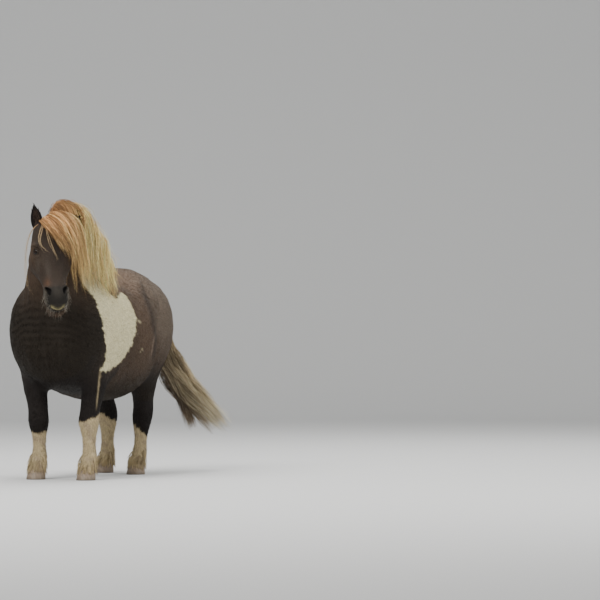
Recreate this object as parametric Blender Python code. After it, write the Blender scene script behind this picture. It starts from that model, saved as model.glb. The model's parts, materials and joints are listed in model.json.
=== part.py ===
"""A shetland pony standing still with its head turned to its left, life size, as a museum shows it.

The pony faces -Y, its left side is +X and the ground is z = 0. All sizes are in metres.
The body is lofted whole, joined into one smooth skin and then parted with thin cuts.
"""

import math
import random

import bmesh
import bpy
import numpy as np
from mathutils import Matrix, Vector
from mathutils.bvhtree import BVHTree

GAP = 0.0003
SOLVER = "MANIFOLD"
RING = 64

# Trunk stations from breast to buttock: y, top, bottom, half width, height of the widest place.
TRUNK = [
    (-0.540, 0.760, 0.640, 0.050, 0.700),
    (-0.520, 0.830, 0.570, 0.132, 0.690),
    (-0.470, 0.905, 0.500, 0.201, 0.680),
    (-0.400, 0.965, 0.450, 0.239, 0.670),
    (-0.320, 1.000, 0.425, 0.255, 0.665),
    (-0.220, 1.010, 0.405, 0.257, 0.655),
    (-0.080, 0.986, 0.380, 0.268, 0.635),
    (0.060, 0.978, 0.362, 0.280, 0.625),
    (0.180, 0.995, 0.372, 0.274, 0.635),
    (0.290, 1.018, 0.420, 0.256, 0.665),
    (0.380, 1.020, 0.500, 0.240, 0.710),
    (0.460, 0.980, 0.580, 0.214, 0.745),
    (0.522, 0.910, 0.650, 0.172, 0.765),
    (0.558, 0.840, 0.715, 0.098, 0.770),
]
# Neck stations from withers to poll: crest point, throat point, half width.
NECK = [
    (0.000, -0.110, 0.960, 0.000, -0.460, 0.600, 0.185),
    (0.000, -0.190, 1.012, 0.000, -0.530, 0.730, 0.165),
    (0.002, -0.285, 1.092, 0.005, -0.562, 0.850, 0.134),
    (0.010, -0.385, 1.185, 0.018, -0.560, 0.935, 0.108),
    (0.025, -0.470, 1.235, 0.036, -0.560, 1.000, 0.090),
    (0.045, -0.550, 1.240, 0.054, -0.575, 1.050, 0.078),
    (0.060, -0.610, 1.205, 0.068, -0.605, 1.090, 0.060),
]
# Fore leg stations from elbow to coronet: z, x, y, half width, reach forward, reach back.
FORE_LEG = [
    (0.640, 0.160, -0.310, 0.060, 0.085, 0.110),
    (0.560, 0.165, -0.300, 0.066, 0.080, 0.095),
    (0.480, 0.158, -0.295, 0.065, 0.068, 0.074),
    (0.410, 0.148, -0.295, 0.058, 0.056, 0.060),
    (0.350, 0.138, -0.297, 0.052, 0.048, 0.049),
    (0.310, 0.133, -0.299, 0.052, 0.047, 0.045),
    (0.275, 0.131, -0.301, 0.053, 0.048, 0.044),
    (0.240, 0.130, -0.300, 0.045, 0.040, 0.041),
    (0.205, 0.130, -0.298, 0.036, 0.032, 0.037),
    (0.160, 0.130, -0.297, 0.033, 0.029, 0.035),
    (0.125, 0.130, -0.297, 0.035, 0.032, 0.040),
    (0.102, 0.130, -0.300, 0.039, 0.036, 0.044),
    (0.080, 0.130, -0.308, 0.037, 0.035, 0.037),
    (0.060, 0.130, -0.317, 0.038, 0.036, 0.036),
    (0.030, 0.130, -0.329, 0.043, 0.042, 0.042),
]
# Hind leg stations from hip to coronet, as for the fore leg, before each leg's own swing.
HIND_LEG = [
    (0.820, 0.120, 0.370, 0.080, 0.110, 0.120),
    (0.740, 0.140, 0.360, 0.105, 0.145, 0.150),
    (0.640, 0.148, 0.345, 0.112, 0.145, 0.186),
    (0.550, 0.144, 0.345, 0.090, 0.114, 0.153),
    (0.480, 0.136, 0.362, 0.073, 0.088, 0.110),
    (0.410, 0.125, 0.392, 0.061, 0.062, 0.068),
    (0.360, 0.117, 0.420, 0.054, 0.052, 0.056),
    (0.325, 0.113, 0.435, 0.053, 0.052, 0.055),
    (0.285, 0.110, 0.439, 0.053, 0.051, 0.050),
    (0.245, 0.109, 0.437, 0.046, 0.043, 0.044),
    (0.205, 0.109, 0.433, 0.037, 0.034, 0.037),
    (0.160, 0.110, 0.428, 0.032, 0.030, 0.034),
    (0.125, 0.110, 0.424, 0.035, 0.032, 0.039),
    (0.102, 0.110, 0.420, 0.038, 0.036, 0.043),
    (0.080, 0.110, 0.411, 0.036, 0.034, 0.036),
    (0.060, 0.110, 0.401, 0.037, 0.035, 0.035),
    (0.030, 0.110, 0.388, 0.042, 0.041, 0.041),
]
HIP_HEIGHT = 0.64
HIND_SWING = {"left": -0.080, "right": 0.050}
SIDES = {"left": 1, "right": -1}

# Rounded muscles laid over the lofts: centre, radii.
MUSCLES = [
    ((0.148, -0.345, 0.710), (0.104, 0.142, 0.220)),
    ((0.150, -0.275, 0.600), (0.090, 0.120, 0.140)),
    ((0.075, -0.450, 0.640), (0.088, 0.085, 0.130)),
    ((0.131, 0.394, 0.722), (0.134, 0.174, 0.238)),
    ((0.080, 0.320, 0.875), (0.122, 0.160, 0.125)),
    ((0.102, 0.455, 0.715), (0.108, 0.098, 0.185)),
]

# The head hangs from the poll: its place, then how far it is pitched forward, turned left and tilted.
POLL = Vector((0.048, -0.600, 1.198))
HEAD_PITCH = math.radians(24)
HEAD_YAW = math.radians(32)
HEAD_ROLL = math.radians(-4)
# Head stations from poll to lips: down, front, back, half width, depth of the widest place.
HEAD = [
    (-0.030, 0.012, -0.050, 0.038, -0.020),
    (-0.010, 0.026, -0.070, 0.056, -0.018),
    (0.030, 0.044, -0.098, 0.070, -0.004),
    (0.070, 0.055, -0.120, 0.080, 0.008),
    (0.115, 0.061, -0.133, 0.090, 0.004),
    (0.155, 0.062, -0.135, 0.097, -0.010),
    (0.195, 0.060, -0.127, 0.095, -0.026),
    (0.230, 0.055, -0.105, 0.082, -0.018),
    (0.265, 0.050, -0.079, 0.066, -0.006),
    (0.305, 0.047, -0.063, 0.056, -0.004),
    (0.345, 0.050, -0.058, 0.058, 0.000),
    (0.375, 0.050, -0.060, 0.056, -0.002),
    (0.400, 0.043, -0.056, 0.047, -0.004),
    (0.420, 0.028, -0.046, 0.034, -0.008),
    (0.431, 0.010, -0.028, 0.017, -0.010),
]

# Sculpting strokes on the head: centre, radii and push, each as side, front, down.
HEAD_STROKES = [
    ((0.086, 0.036, 0.122), (0.034, 0.030, 0.034), (0.011, 0.004, 0.000)),
    ((0.066, 0.054, 0.080), (0.030, 0.032, 0.045), (-0.003, -0.005, 0.000)),
    ((0.088, 0.010, 0.185), (0.026, 0.020, 0.050), (0.006, 0.000, 0.000)),
    ((0.056, 0.020, 0.270), (0.028, 0.034, 0.070), (-0.008, 0.000, 0.000)),
    ((0.050, 0.036, 0.346), (0.028, 0.030, 0.038), (0.009, 0.007, 0.000)),
    ((0.086, -0.070, 0.150), (0.034, 0.060, 0.075), (0.008, 0.000, 0.000)),
    ((0.000, -0.140, 0.170), (0.030, 0.045, 0.100), (0.000, 0.022, 0.000)),
    ((0.000, -0.060, 0.400), (0.034, 0.024, 0.030), (0.000, -0.013, 0.003)),
    ((0.000, -0.064, 0.345), (0.045, 0.022, 0.030), (0.000, 0.008, 0.000)),
    ((0.000, 0.020, 0.430), (0.040, 0.026, 0.022), (0.000, 0.003, 0.008)),
    ((0.030, 0.058, 0.235), (0.022, 0.022, 0.100), (0.000, -0.003, 0.000)),
]
# Sculpting strokes on the body, as x, y, z.
BODY_STROKES = [
    ((0.235, 0.235, 0.640), (0.070, 0.055, 0.170), (-0.016, 0.000, 0.000)),
    ((0.200, -0.190, 0.740), (0.070, 0.050, 0.200), (-0.010, 0.000, 0.000)),
    ((0.000, -0.540, 0.680), (0.030, 0.050, 0.130), (0.000, 0.016, 0.000)),
    ((0.000, 0.545, 0.640), (0.024, 0.070, 0.150), (0.000, -0.022, 0.000)),
    ((0.105, -0.520, 0.960), (0.040, 0.050, 0.160), (-0.010, 0.006, 0.000)),
    ((0.110, 0.500, 0.345), (0.030, 0.034, 0.034), (0.000, 0.012, 0.004)),
]

EYE_RADIUS = 0.0185
EYE_CENTRE = Vector((0.0660, 0.0300, 0.147))
EYE_LOOK = Vector((0.86, 0.48, -0.05)).normalized()
LID_THICKNESS = 0.0030
LID_HALF_LENGTH = 0.0175
LID_HALF_HEIGHT = 0.0110
NOSTRIL_CENTRE = Vector((0.046, 0.044, 0.346))
NOSTRIL_RADII = (0.0075, 0.024)
MOUTH_DEPTH = -0.024
MOUTH_CORNER = 0.350
MOUTH_INNER = (0.048, 0.072)
MOUTH_HEIGHT = 0.0028

EAR_LENGTH = 0.117
# Ear stations from root to tip: share of the length, half width, reach back, reach forward.
EAR = [
    (0.00, 0.021, 0.020, 0.018),
    (0.14, 0.024, 0.022, 0.006),
    (0.28, 0.028, 0.024, -0.014),
    (0.46, 0.0285, 0.023, -0.016),
    (0.64, 0.025, 0.019, -0.013),
    (0.80, 0.018, 0.013, -0.0085),
    (0.93, 0.009, 0.007, -0.0035),
    (1.00, 0.003, 0.003, 0.0005),
]
# Each ear's root, the way its tip points and the way its cup opens, as side, front, down.
EARS = {
    "right": (Vector((-0.038, -0.022, 0.012)), Vector((-0.04, 0.16, -0.98)), Vector((-0.42, 0.90, 0.0))),
    "left": (Vector((0.054, -0.026, 0.006)), Vector((0.90, 0.06, -0.44)), Vector((0.05, 0.80, 0.50))),
}

CORONET = 0.046
# Hoof rings from coronet to sole: height, forward shift, half width, reach forward, reach back.
HOOF = [
    (CORONET - GAP, 0.000, 0.0405, 0.0395, 0.0385),
    (0.024, 0.005, 0.0430, 0.0445, 0.0390),
    (0.004, 0.010, 0.0460, 0.0490, 0.0395),
    (0.000, 0.010, 0.0450, 0.0480, 0.0385),
]

TRUNK_COVER = 0.010
BODY_VOXEL = 0.006
BODY_DETAIL = 0.0160
HEAD_DETAIL = 0.029

COAT = (0.060, 0.038, 0.030)
TAIL = (0.250, 0.180, 0.130)
HORN = (0.300, 0.250, 0.200)
EYE = (0.012, 0.008, 0.006)
ROUGHNESS = {"eye": 0.10, "hoof": 0.55}
SHARP_ANGLE = math.radians(50)

# The neck is parted from the trunk along a line from withers to breast.
NECK_TOP = Vector((0.0, -0.165, 1.03))
NECK_LOW = Vector((0.0, -0.560, 0.700))

# Where the mane grows along the crest, from poll to withers, seen from above.
MANE_ROOTS = [
    (0.041, -0.528), (0.035, -0.506), (0.028, -0.470), (0.020, -0.425),
    (0.012, -0.375), (0.006, -0.325), (0.002, -0.275), (0.000, -0.225),
]
# How far the mane stands out and up before it falls, from poll to withers: x, y and z of its crown.
MANE_CROWN = [
    (0.112, -0.530, 1.282), (0.155, -0.480, 1.292), (0.184, -0.420, 1.276), (0.197, -0.355, 1.204),
    (0.200, -0.285, 1.112), (0.192, -0.205, 1.030),
]
# Where the tips of the mane hang from poll to withers, seen from above.
MANE_TIPS = [
    (0.155, -0.530), (0.185, -0.460), (0.208, -0.390), (0.225, -0.315), (0.238, -0.240), (0.244, -0.180),
]
# Mane layers: number of locks, reach of the crown, height of the tips at poll and withers.
MANE_LAYERS = [(6, 0.42, 0.950, 0.930), (8, 0.68, 0.920, 0.900), (9, 0.92, 0.885, 0.865)]

TURN_POINTS = 4
# Locks of the forelock from its right edge to its left: places as side, front and down of the head.
FORELOCK = [
    [(-0.024, -0.006, -0.020), (-0.024, 0.050, 0.000), (-0.006, 0.085, 0.045), (0.022, 0.090, 0.092),
     (0.050, 0.076, 0.140), (0.070, 0.062, 0.185)],
    [(-0.016, -0.010, -0.024), (-0.012, 0.055, -0.010), (0.016, 0.092, 0.045), (0.046, 0.090, 0.095),
     (0.072, 0.070, 0.150), (0.086, 0.052, 0.210)],
    [(-0.006, -0.012, -0.028), (0.004, 0.056, -0.022), (0.040, 0.090, 0.030), (0.070, 0.080, 0.085),
     (0.092, 0.060, 0.150), (0.098, 0.040, 0.235)],
    [(0.004, -0.014, -0.030), (0.024, 0.050, -0.034), (0.064, 0.080, 0.012), (0.094, 0.068, 0.070),
     (0.110, 0.050, 0.150), (0.108, 0.032, 0.265)],
    [(0.014, -0.016, -0.032), (0.044, 0.040, -0.044), (0.086, 0.066, 0.000), (0.116, 0.052, 0.060),
     (0.128, 0.036, 0.160), (0.120, 0.024, 0.300)],
    [(0.020, -0.012, -0.030), (0.062, 0.028, -0.048), (0.108, 0.046, -0.010), (0.136, 0.036, 0.060),
     (0.146, 0.020, 0.170), (0.136, 0.012, 0.330)],
    [(0.027, -0.013, -0.026), (0.078, 0.012, -0.048), (0.126, 0.024, -0.014), (0.154, 0.014, 0.060),
     (0.164, 0.002, 0.180), (0.152, 0.000, 0.345)],
]

# The line of the tail from the rump to its tip.
TAIL_PATH = [
    (0.000, 0.490, 0.912), (0.002, 0.548, 0.893), (0.014, 0.598, 0.845), (0.044, 0.642, 0.770),
    (0.080, 0.685, 0.675), (0.112, 0.728, 0.560), (0.165, 0.768, 0.437), (0.255, 0.800, 0.325),
    (0.358, 0.832, 0.205),
]
# A thin fork of the tail that hangs inside the rest.
TAIL_FORK = [
    (0.080, 0.680, 0.660), (0.112, 0.715, 0.560), (0.148, 0.745, 0.450), (0.170, 0.765, 0.360), (0.198, 0.780, 0.280),
    (0.222, 0.790, 0.205),
]
TAIL_LOCKS = 20
# Spread of the tail about its path, from root to tip.
TAIL_SPREAD = (0.0, 0.010, 0.022, 0.033, 0.042, 0.053, 0.066, 0.072, 0.064)


def spline(rows, count):
    """Rows of numbers read at even steps from a smooth curve through the given rows."""
    rows = np.array(rows, float)
    padded = np.vstack([2 * rows[0] - rows[1], rows, 2 * rows[-1] - rows[-2]])
    found = []
    for place in np.linspace(0, len(rows) - 1, count):
        i = min(int(place), len(rows) - 2)
        a, b, c, d = padded[i : i + 4]
        t = place - i
        bend = (2 * a - 5 * b + 4 * c - d) * t**2 + (3 * b - a - 3 * c + d) * t**3
        found.append(0.5 * (2 * b + (c - a) * t + bend))
    return np.array(found)


def oval(half, front, back, square=1.0):
    """Ring of (side, depth) pairs: half wide, reaching front one way and back the other."""
    turns = np.linspace(0, 2 * math.pi, RING, endpoint=False)
    side = half * np.sign(np.cos(turns)) * np.abs(np.cos(turns)) ** square
    rise = np.abs(np.sin(turns)) ** square
    return side, np.where(np.sin(turns) >= 0, rise * front, -rise * back)


def mesh_object(name, points, faces):
    """A mesh object whose faces point out."""
    mesh = bpy.data.meshes.new(name)
    mesh.from_pydata([tuple(p) for p in points], [], faces)
    work = bmesh.new()
    work.from_mesh(mesh)
    bmesh.ops.recalc_face_normals(work, faces=work.faces)
    work.to_mesh(mesh)
    work.free()
    found = bpy.data.objects.new(name, mesh)
    bpy.context.scene.collection.objects.link(found)
    return found


def loft(name, rings):
    """A closed skin over rings of points, with each end drawn to its own middle."""
    rings = np.array(rings, float)
    rows, size = rings.shape[:2]
    points = np.vstack([rings.reshape(-1, 3), rings[0].mean(0), rings[-1].mean(0)])
    faces = []
    for i in range(size):
        j = (i + 1) % size
        faces += [
            (r * size + i, r * size + j, (r + 1) * size + j, (r + 1) * size + i) for r in range(rows - 1)
        ]
        faces += [(rows * size, j, i), (rows * size + 1, (rows - 1) * size + i, (rows - 1) * size + j)]
    return mesh_object(name, points, faces)


def trunk():
    rings = []
    for y, top, bottom, half, widest in spline(TRUNK, 40):
        x, z = oval(half, top - widest, widest - bottom, 0.92)
        rings.append(np.column_stack([x, np.full(RING, y), widest + z]))
    return loft("trunk", rings)


def neck():
    rows = spline(NECK, 24)
    crest, throat, half = rows[:, :3], rows[:, 3:6], rows[:, 6]
    middle = (crest + throat) / 2
    along = np.gradient(middle, axis=0)
    rings = []
    for c, t, h, m, a in zip(crest, throat, half, middle, along):
        depth = (c - t) / 2
        side = np.cross(a, depth)
        side = side / np.linalg.norm(side)
        x, d = oval(h, 1.0, 1.0, 0.9)
        rings.append(m + np.outer(x, side) + np.outer(d, depth))
    return loft("neck", rings)


def leg(stations, side, swing=0.0):
    """A leg lofted from its stations, its foot swung back by that much."""
    rings = []
    for z, x, y, half, front, back in spline(stations, 44):
        moved = y + swing * max(0.0, 1 - z / HIP_HEIGHT)
        across, along = oval(half, front, back, 0.95)
        rings.append(np.column_stack([side * x + across, moved - along, np.full(RING, z)]))
    return loft("leg", rings)


def muscle(centre, radii, side):
    turns = np.linspace(0, math.pi, 14)[1:-1]
    rings = []
    for t in turns:
        x, y = oval(radii[0] * math.sin(t), radii[1] * math.sin(t), radii[1] * math.sin(t))
        z = np.full(RING, radii[2] * math.cos(t))
        rings.append(np.column_stack([side * centre[0] + x, centre[1] + y, centre[2] + z]))
    return loft("muscle", rings)


def head_axes():
    """Matrix whose columns are the head's side, front and down directions, and its place."""
    turn = Matrix.Rotation(HEAD_YAW, 4, "Z") @ Matrix.Rotation(-HEAD_PITCH, 4, "X")
    hang = Matrix(((1, 0, 0, 0), (0, -1, 0, 0), (0, 0, -1, 0), (0, 0, 0, 1)))
    tilt = Matrix.Rotation(HEAD_ROLL, 4, "Y")
    return Matrix.Translation(POLL) @ turn @ tilt @ hang


def head():
    rings = []
    for down, front, back, half, widest in spline(HEAD, 40):
        side, depth = oval(half, front - widest, widest - back, 0.88)
        rings.append(np.column_stack([side, widest + depth, np.full(RING, down)]))
    made = loft("head", rings)
    made.data.transform(head_axes())
    return made


def material(name, colour, roughness):
    found = bpy.data.materials.new(name)
    found.use_nodes = True
    shader = found.node_tree.nodes["Principled BSDF"]
    shader.inputs["Base Color"].default_value = (*colour, 1)
    shader.inputs["Roughness"].default_value = roughness
    shader.inputs["Metallic"].default_value = 0.0
    return found


def dress(made, what):
    """Gives the object its material and shades it smooth except at sharp edges."""
    made.data.materials.clear()
    made.data.materials.append(what)
    made.data.shade_smooth()
    made.data.set_sharp_from_angle(angle=SHARP_ANGLE)


def apply_modifiers(made):
    """The object's mesh as its modifiers leave it."""
    bpy.context.view_layer.update()
    graph = bpy.context.evaluated_depsgraph_get()
    old = made.data
    made.data = bpy.data.meshes.new_from_object(made.evaluated_get(graph))
    made.modifiers.clear()
    bpy.data.meshes.remove(old)
    return made


def joined(name, made):
    """Several mesh objects as one, their faces untouched."""
    work = bmesh.new()
    for one in made:
        work.from_mesh(one.data)
        bpy.data.objects.remove(one)
    mesh = bpy.data.meshes.new(name)
    work.to_mesh(mesh)
    work.free()
    found = bpy.data.objects.new(name, mesh)
    bpy.context.scene.collection.objects.link(found)
    return found


def remeshed(made, voxel):
    skin = made.modifiers.new("skin", "REMESH")
    skin.mode = "VOXEL"
    skin.voxel_size = voxel
    return apply_modifiers(made)


def smoothed(made, factor, rounds, group=""):
    ease = made.modifiers.new("ease", "SMOOTH")
    ease.factor = factor
    ease.iterations = rounds
    ease.vertex_group = group
    return apply_modifiers(made)


def thinned(made, ratio):
    fewer = made.modifiers.new("fewer", "DECIMATE")
    fewer.ratio = ratio
    return apply_modifiers(made)


def grown(made, distance):
    """A copy of the object whose skin lies that far outside it."""
    copy = bpy.data.objects.new(made.name + "_grown", made.data.copy())
    bpy.context.scene.collection.objects.link(copy)
    out = copy.modifiers.new("out", "DISPLACE")
    out.strength = distance
    out.mid_level = 0.0
    return apply_modifiers(copy)


def combine(made, tools, operation):
    """Joins or cuts the object with closed tools in one Boolean, and keeps its largest closed surface."""
    pool = bpy.data.collections.new("tools")
    bpy.context.scene.collection.children.link(pool)
    for tool in tools:
        pool.objects.link(tool)
    change = made.modifiers.new("change", "BOOLEAN")
    change.operation = operation
    change.operand_type = "COLLECTION"
    change.collection = pool
    change.solver = SOLVER
    apply_modifiers(made)
    for tool in tools:
        bpy.data.objects.remove(tool)
    bpy.data.collections.remove(pool)
    return made


def islands(made):
    """The object's separate closed surfaces, as points, triangles, volume and middle of each."""
    work = bmesh.new()
    work.from_mesh(made.data)
    bmesh.ops.triangulate(work, faces=work.faces)
    points = np.array([v.co for v in work.verts])
    corners = np.array([[v.index for v in f.verts] for f in work.faces])
    work.free()
    label = np.arange(len(points))
    while True:
        low = label.copy()
        np.minimum.at(low, corners.ravel(), np.repeat(label[corners].min(1), 3))
        if (low == label).all():
            break
        label = low[low]
    found = []
    for one in np.unique(label[corners[:, 0]]):
        faces = corners[label[corners[:, 0]] == one]
        used, packed = np.unique(faces, return_inverse=True)
        a, b, c = (points[faces[:, k]] for k in range(3))
        share = (a * np.cross(b, c)).sum(1) / 6
        middle = ((a + b + c) * share[:, None]).sum(0) / 4 / share.sum()
        found.append((points[used], packed.reshape(-1, 3), share.sum(), middle))
    return found


def split(made, names):
    """Parts the object into closed surfaces: names maps each name to a point near the middle of its own."""
    found = [one for one in islands(made) if one[2] > 2e-6]
    parts = {}
    for name, place in names.items():
        best = min(found, key=lambda one: np.linalg.norm(one[3] - np.array(place)))
        parts[name] = mesh_object(name, best[0], best[1].tolist())
    bpy.data.objects.remove(made)
    return parts


def keep(made):
    """The object reduced to its largest closed surface."""
    largest = max(islands(made), key=lambda one: one[2])
    kept = mesh_object("kept", largest[0], largest[1].tolist())
    bpy.data.objects.remove(made)
    return kept


def sculpt(made, strokes, frame, mirror=True):
    """Pushes the skin near each stroke's centre, mirrored where the stroke lies off the middle."""
    points = np.empty(len(made.data.vertices) * 3)
    made.data.vertices.foreach_get("co", points)
    frame = np.array(frame)
    local = (points.reshape(-1, 3) - frame[:3, 3]) @ frame[:3, :3]
    start = local.copy()
    for centre, radii, push in strokes:
        for side in (1, -1) if mirror and centre[0] else (1,):
            turn = np.array([side, 1, 1])
            reach = (((start - turn * centre) / radii) ** 2).sum(1)
            local += np.outer(np.clip(1 - reach, 0, None) ** 2, turn * push)
    moved = local @ frame[:3, :3].T + frame[:3, 3]
    made.data.vertices.foreach_set("co", moved.ravel())
    made.data.update()
    return made


def broad_group(made):
    """A vertex group that is full on the trunk and neck and empty on the head and lower legs."""
    points = np.empty(len(made.data.vertices) * 3)
    made.data.vertices.foreach_get("co", points)
    points = points.reshape(-1, 3)
    frame = np.array(head_axes())
    local = (points - frame[:3, 3]) @ frame[:3, :3]
    near_head = np.clip((local[:, 1] + 0.19) / 0.05, 0, 1) * (points[:, 2] > 0.75) * (points[:, 1] < -0.5)
    weight = np.clip((points[:, 2] - 0.42) / 0.12, 0, 1) * (1 - near_head)
    group = made.vertex_groups.new(name="broad")
    for i in np.nonzero(weight > 0.01)[0]:
        group.add([int(i)], float(weight[i]), "REPLACE")
    return made


def flesh():
    """The whole body but ears, eyes, hooves and hair, as one dense smooth skin."""
    made = [trunk(), neck(), head()]
    for name, side in SIDES.items():
        made.append(leg(FORE_LEG, side))
        made.append(leg(HIND_LEG, side, HIND_SWING[name]))
        made += [muscle(centre, radii, side) for centre, radii in MUSCLES]
    skin = remeshed(joined("flesh", made), BODY_VOXEL)
    skin = smoothed(broad_group(skin), 0.5, 170, "broad")
    skin = smoothed(skin, 0.5, 5)
    sculpt(skin, BODY_STROKES, Matrix.Identity(4))
    return sculpt(skin, HEAD_STROKES, head_axes())


def placed(frame, local):
    """A head point given as side, front, down, in the shared frame."""
    return frame @ Vector(local)


def ball(name, centre, radius, turns=14, rows=8):
    angles = np.linspace(0, 2 * math.pi, turns, endpoint=False)
    rings = []
    for t in np.linspace(0, math.pi, rows + 1)[1:-1]:
        x = centre[0] + radius * math.sin(t) * np.cos(angles)
        y = centre[1] + radius * math.sin(t) * np.sin(angles)
        rings.append(np.column_stack([x, y, np.full(turns, centre[2] + radius * math.cos(t))]))
    made = loft(name, rings)
    points = made.data.vertices
    points[len(points) - 2].co = (centre[0], centre[1], centre[2] + radius)
    points[len(points) - 1].co = (centre[0], centre[1], centre[2] - radius)
    return made


def slab(name, middle, normal, reach, thickness):
    """A thin square plate, its middle at the point and its faces square to the normal."""
    normal = Vector(normal).normalized()
    across = normal.orthogonal().normalized()
    along = normal.cross(across)
    points = []
    for depth in (-thickness / 2, thickness / 2):
        for u, v in ((-1, -1), (1, -1), (1, 1), (-1, 1)):
            points.append(Vector(middle) + normal * depth + across * u * reach + along * v * reach)
    faces = [(0, 1, 2, 3), (7, 6, 5, 4), (0, 4, 5, 1), (1, 5, 6, 2), (2, 6, 7, 3), (3, 7, 4, 0)]
    return mesh_object(name, points, faces)


def sole_box():
    """Everything below the coronets."""
    reach = 0.9
    corners = ((-reach, -reach), (reach, -reach), (reach, reach), (-reach, reach))
    points = [(x, y, z) for z in (-0.1, CORONET) for x, y in corners]
    faces = [(0, 1, 2, 3), (7, 6, 5, 4), (0, 4, 5, 1), (1, 5, 6, 2), (2, 6, 7, 3), (3, 7, 4, 0)]
    return mesh_object("below", points, faces)


def eye_frame(side):
    """Matrix at an eye: its long axis, its height and the way it looks."""
    frame = head_axes()
    mirror = Vector((side, 1, 1))
    look = Vector(a * b for a, b in zip(EYE_LOOK, mirror))
    long = Vector((0.0, 0.42, 0.90))
    long = (long - look * long.dot(look)).normalized()
    high = look.cross(long)
    turn = frame.to_3x3() @ Matrix((long, high, look)).transposed()
    centre = placed(frame, Vector(a * b for a, b in zip(EYE_CENTRE, mirror)))
    return Matrix.Translation(centre) @ turn.to_4x4()


def eye_opening(side):
    """The almond opening between the lids, as a tool running outwards from the eye."""
    frame = eye_frame(side)
    outline = []
    for sign in (1, -1):
        for u in np.linspace(-1, 1, 7)[:-1]:
            outline.append((sign * u * LID_HALF_LENGTH, sign * LID_HALF_HEIGHT * (1 - u * u) ** 0.8))
    points = []
    for depth, spread in ((0.4 * EYE_RADIUS, 1.0), (EYE_RADIUS + 0.012, 1.25)):
        points += [frame @ Vector((u * spread, v * spread, depth)) for u, v in outline]
    size = len(outline)
    faces = [tuple(range(size)), tuple(range(2 * size - 1, size - 1, -1))]
    faces += [(i, (i + 1) % size, size + (i + 1) % size, size + i) for i in range(size)]
    return mesh_object("opening", points, faces)


def nostril(side):
    """A comma shaped hollow on one side of the muzzle."""
    frame = head_axes()
    out = Vector((0.74 * side, 0.66, 0.12)).normalized()
    long = Vector((0.34 * side, -0.30, -0.89))
    long = (long - out * long.dot(out)).normalized()
    wide = out.cross(long)
    turns = np.linspace(0, 2 * math.pi, 12, endpoint=False)
    rings = []
    for depth, share in ((-0.020, 0.35), (-0.014, 0.80), (-0.004, 1.0), (0.010, 1.25)):
        ring = []
        for t in turns:
            u = math.cos(t) * NOSTRIL_RADII[1] * share
            v = math.sin(t) * NOSTRIL_RADII[0] * share * (1 - 0.35 * math.cos(t))
            bend = -0.22 * u * u / NOSTRIL_RADII[1]
            centre = Vector((NOSTRIL_CENTRE[0] * side, NOSTRIL_CENTRE[1], NOSTRIL_CENTRE[2]))
            ring.append(placed(frame, centre + out * depth + long * u + wide * (v + bend) * side))
        rings.append(ring)
    return loft("nostril", rings)


def mouth():
    """The line between the lips, as a thin bent strip round the end of the muzzle."""
    frame = head_axes()
    rings = []
    for t in np.linspace(-0.05, math.pi + 0.05, 25):
        high = MOUTH_HEIGHT * (0.5 + 0.5 * math.sin(max(0.0, min(math.pi, t))))
        ring = []
        for share, deep in ((0, -0.4), (0, 0.4), (1, 1.0), (1, -1.0)):
            wide = MOUTH_INNER[0] + share * 0.024
            tall = MOUTH_INNER[1] + share * 0.026
            spot = (wide * math.cos(t), MOUTH_DEPTH + deep * high, MOUTH_CORNER + tall * math.sin(t))
            ring.append(placed(frame, spot))
        rings.append(ring)
    return loft("mouth", rings)


def ear(side_name):
    """A cupped ear with a rim of its own, its root inside the head."""
    root, tip, cup = EARS[side_name]
    frame = head_axes()
    tip = tip.normalized()
    cup = (cup - tip * cup.dot(tip)).normalized()
    wide = cup.cross(tip)
    rings = []
    for share, half, back, front in spline(EAR, 8):
        centre = root + tip * (share * EAR_LENGTH) + cup * (0.012 * share * share)
        ring = []
        for s in np.linspace(-1, 1, 5):
            ring.append(centre + wide * (half * s) - cup * (back * (1 - s * s) - 0.0008))
        for s in np.linspace(1, -1, 5):
            ring.append(centre + wide * (half * s * 0.97) + cup * (front * (1 - s * s) + 0.0018))
        rings.append([placed(frame, point) for point in ring])
    return loft("ear_" + side_name, rings)


def hoof(name, middle):
    """A hoof with its toe forward and a flat sole on the ground."""
    turns = np.linspace(0, 2 * math.pi, 14, endpoint=False)
    rings = []
    for z, forward, half, front, back in HOOF:
        reach = np.where(np.cos(turns) > 0, front, back)
        y = middle[1] - forward - np.cos(turns) * reach
        rings.append(np.column_stack([middle[0] + np.sin(turns) * half, y, np.full(14, z)]))
    return loft(name, rings)


def foot_place(stations, side, swing):
    """Middle of a leg at the coronet."""
    rows = np.array(stations)[::-1]
    x, y = (np.interp(CORONET, rows[:, 0], rows[:, k]) for k in (1, 2))
    return side * x, y + swing * (1 - CORONET / HIP_HEIGHT)


def limb_cover(distance):
    """The trunk, its muscles and the neck grown outwards: what lies outside this is limb."""
    made = [trunk(), neck()]
    for side in SIDES.values():
        made += [muscle(centre, radii, side) for centre, radii in MUSCLES]
    cover = thinned(smoothed(remeshed(joined("cover", made), 0.016), 0.5, 12), 0.04)
    found = grown(cover, distance)
    bpy.data.objects.remove(cover)
    return found


def copied(made, name):
    copy = bpy.data.objects.new(name, made.data.copy())
    bpy.context.scene.collection.objects.link(copy)
    return copy


# Lock forms
def tree_of(made):
    """A search tree over several objects' faces."""
    points, faces = [], []
    for one in made:
        start = len(points)
        points += [v.co.copy() for v in one.data.vertices]
        faces += [tuple(start + i for i in f.vertices) for f in one.data.polygons]
    return BVHTree.FromPolygons(points, faces)


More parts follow.
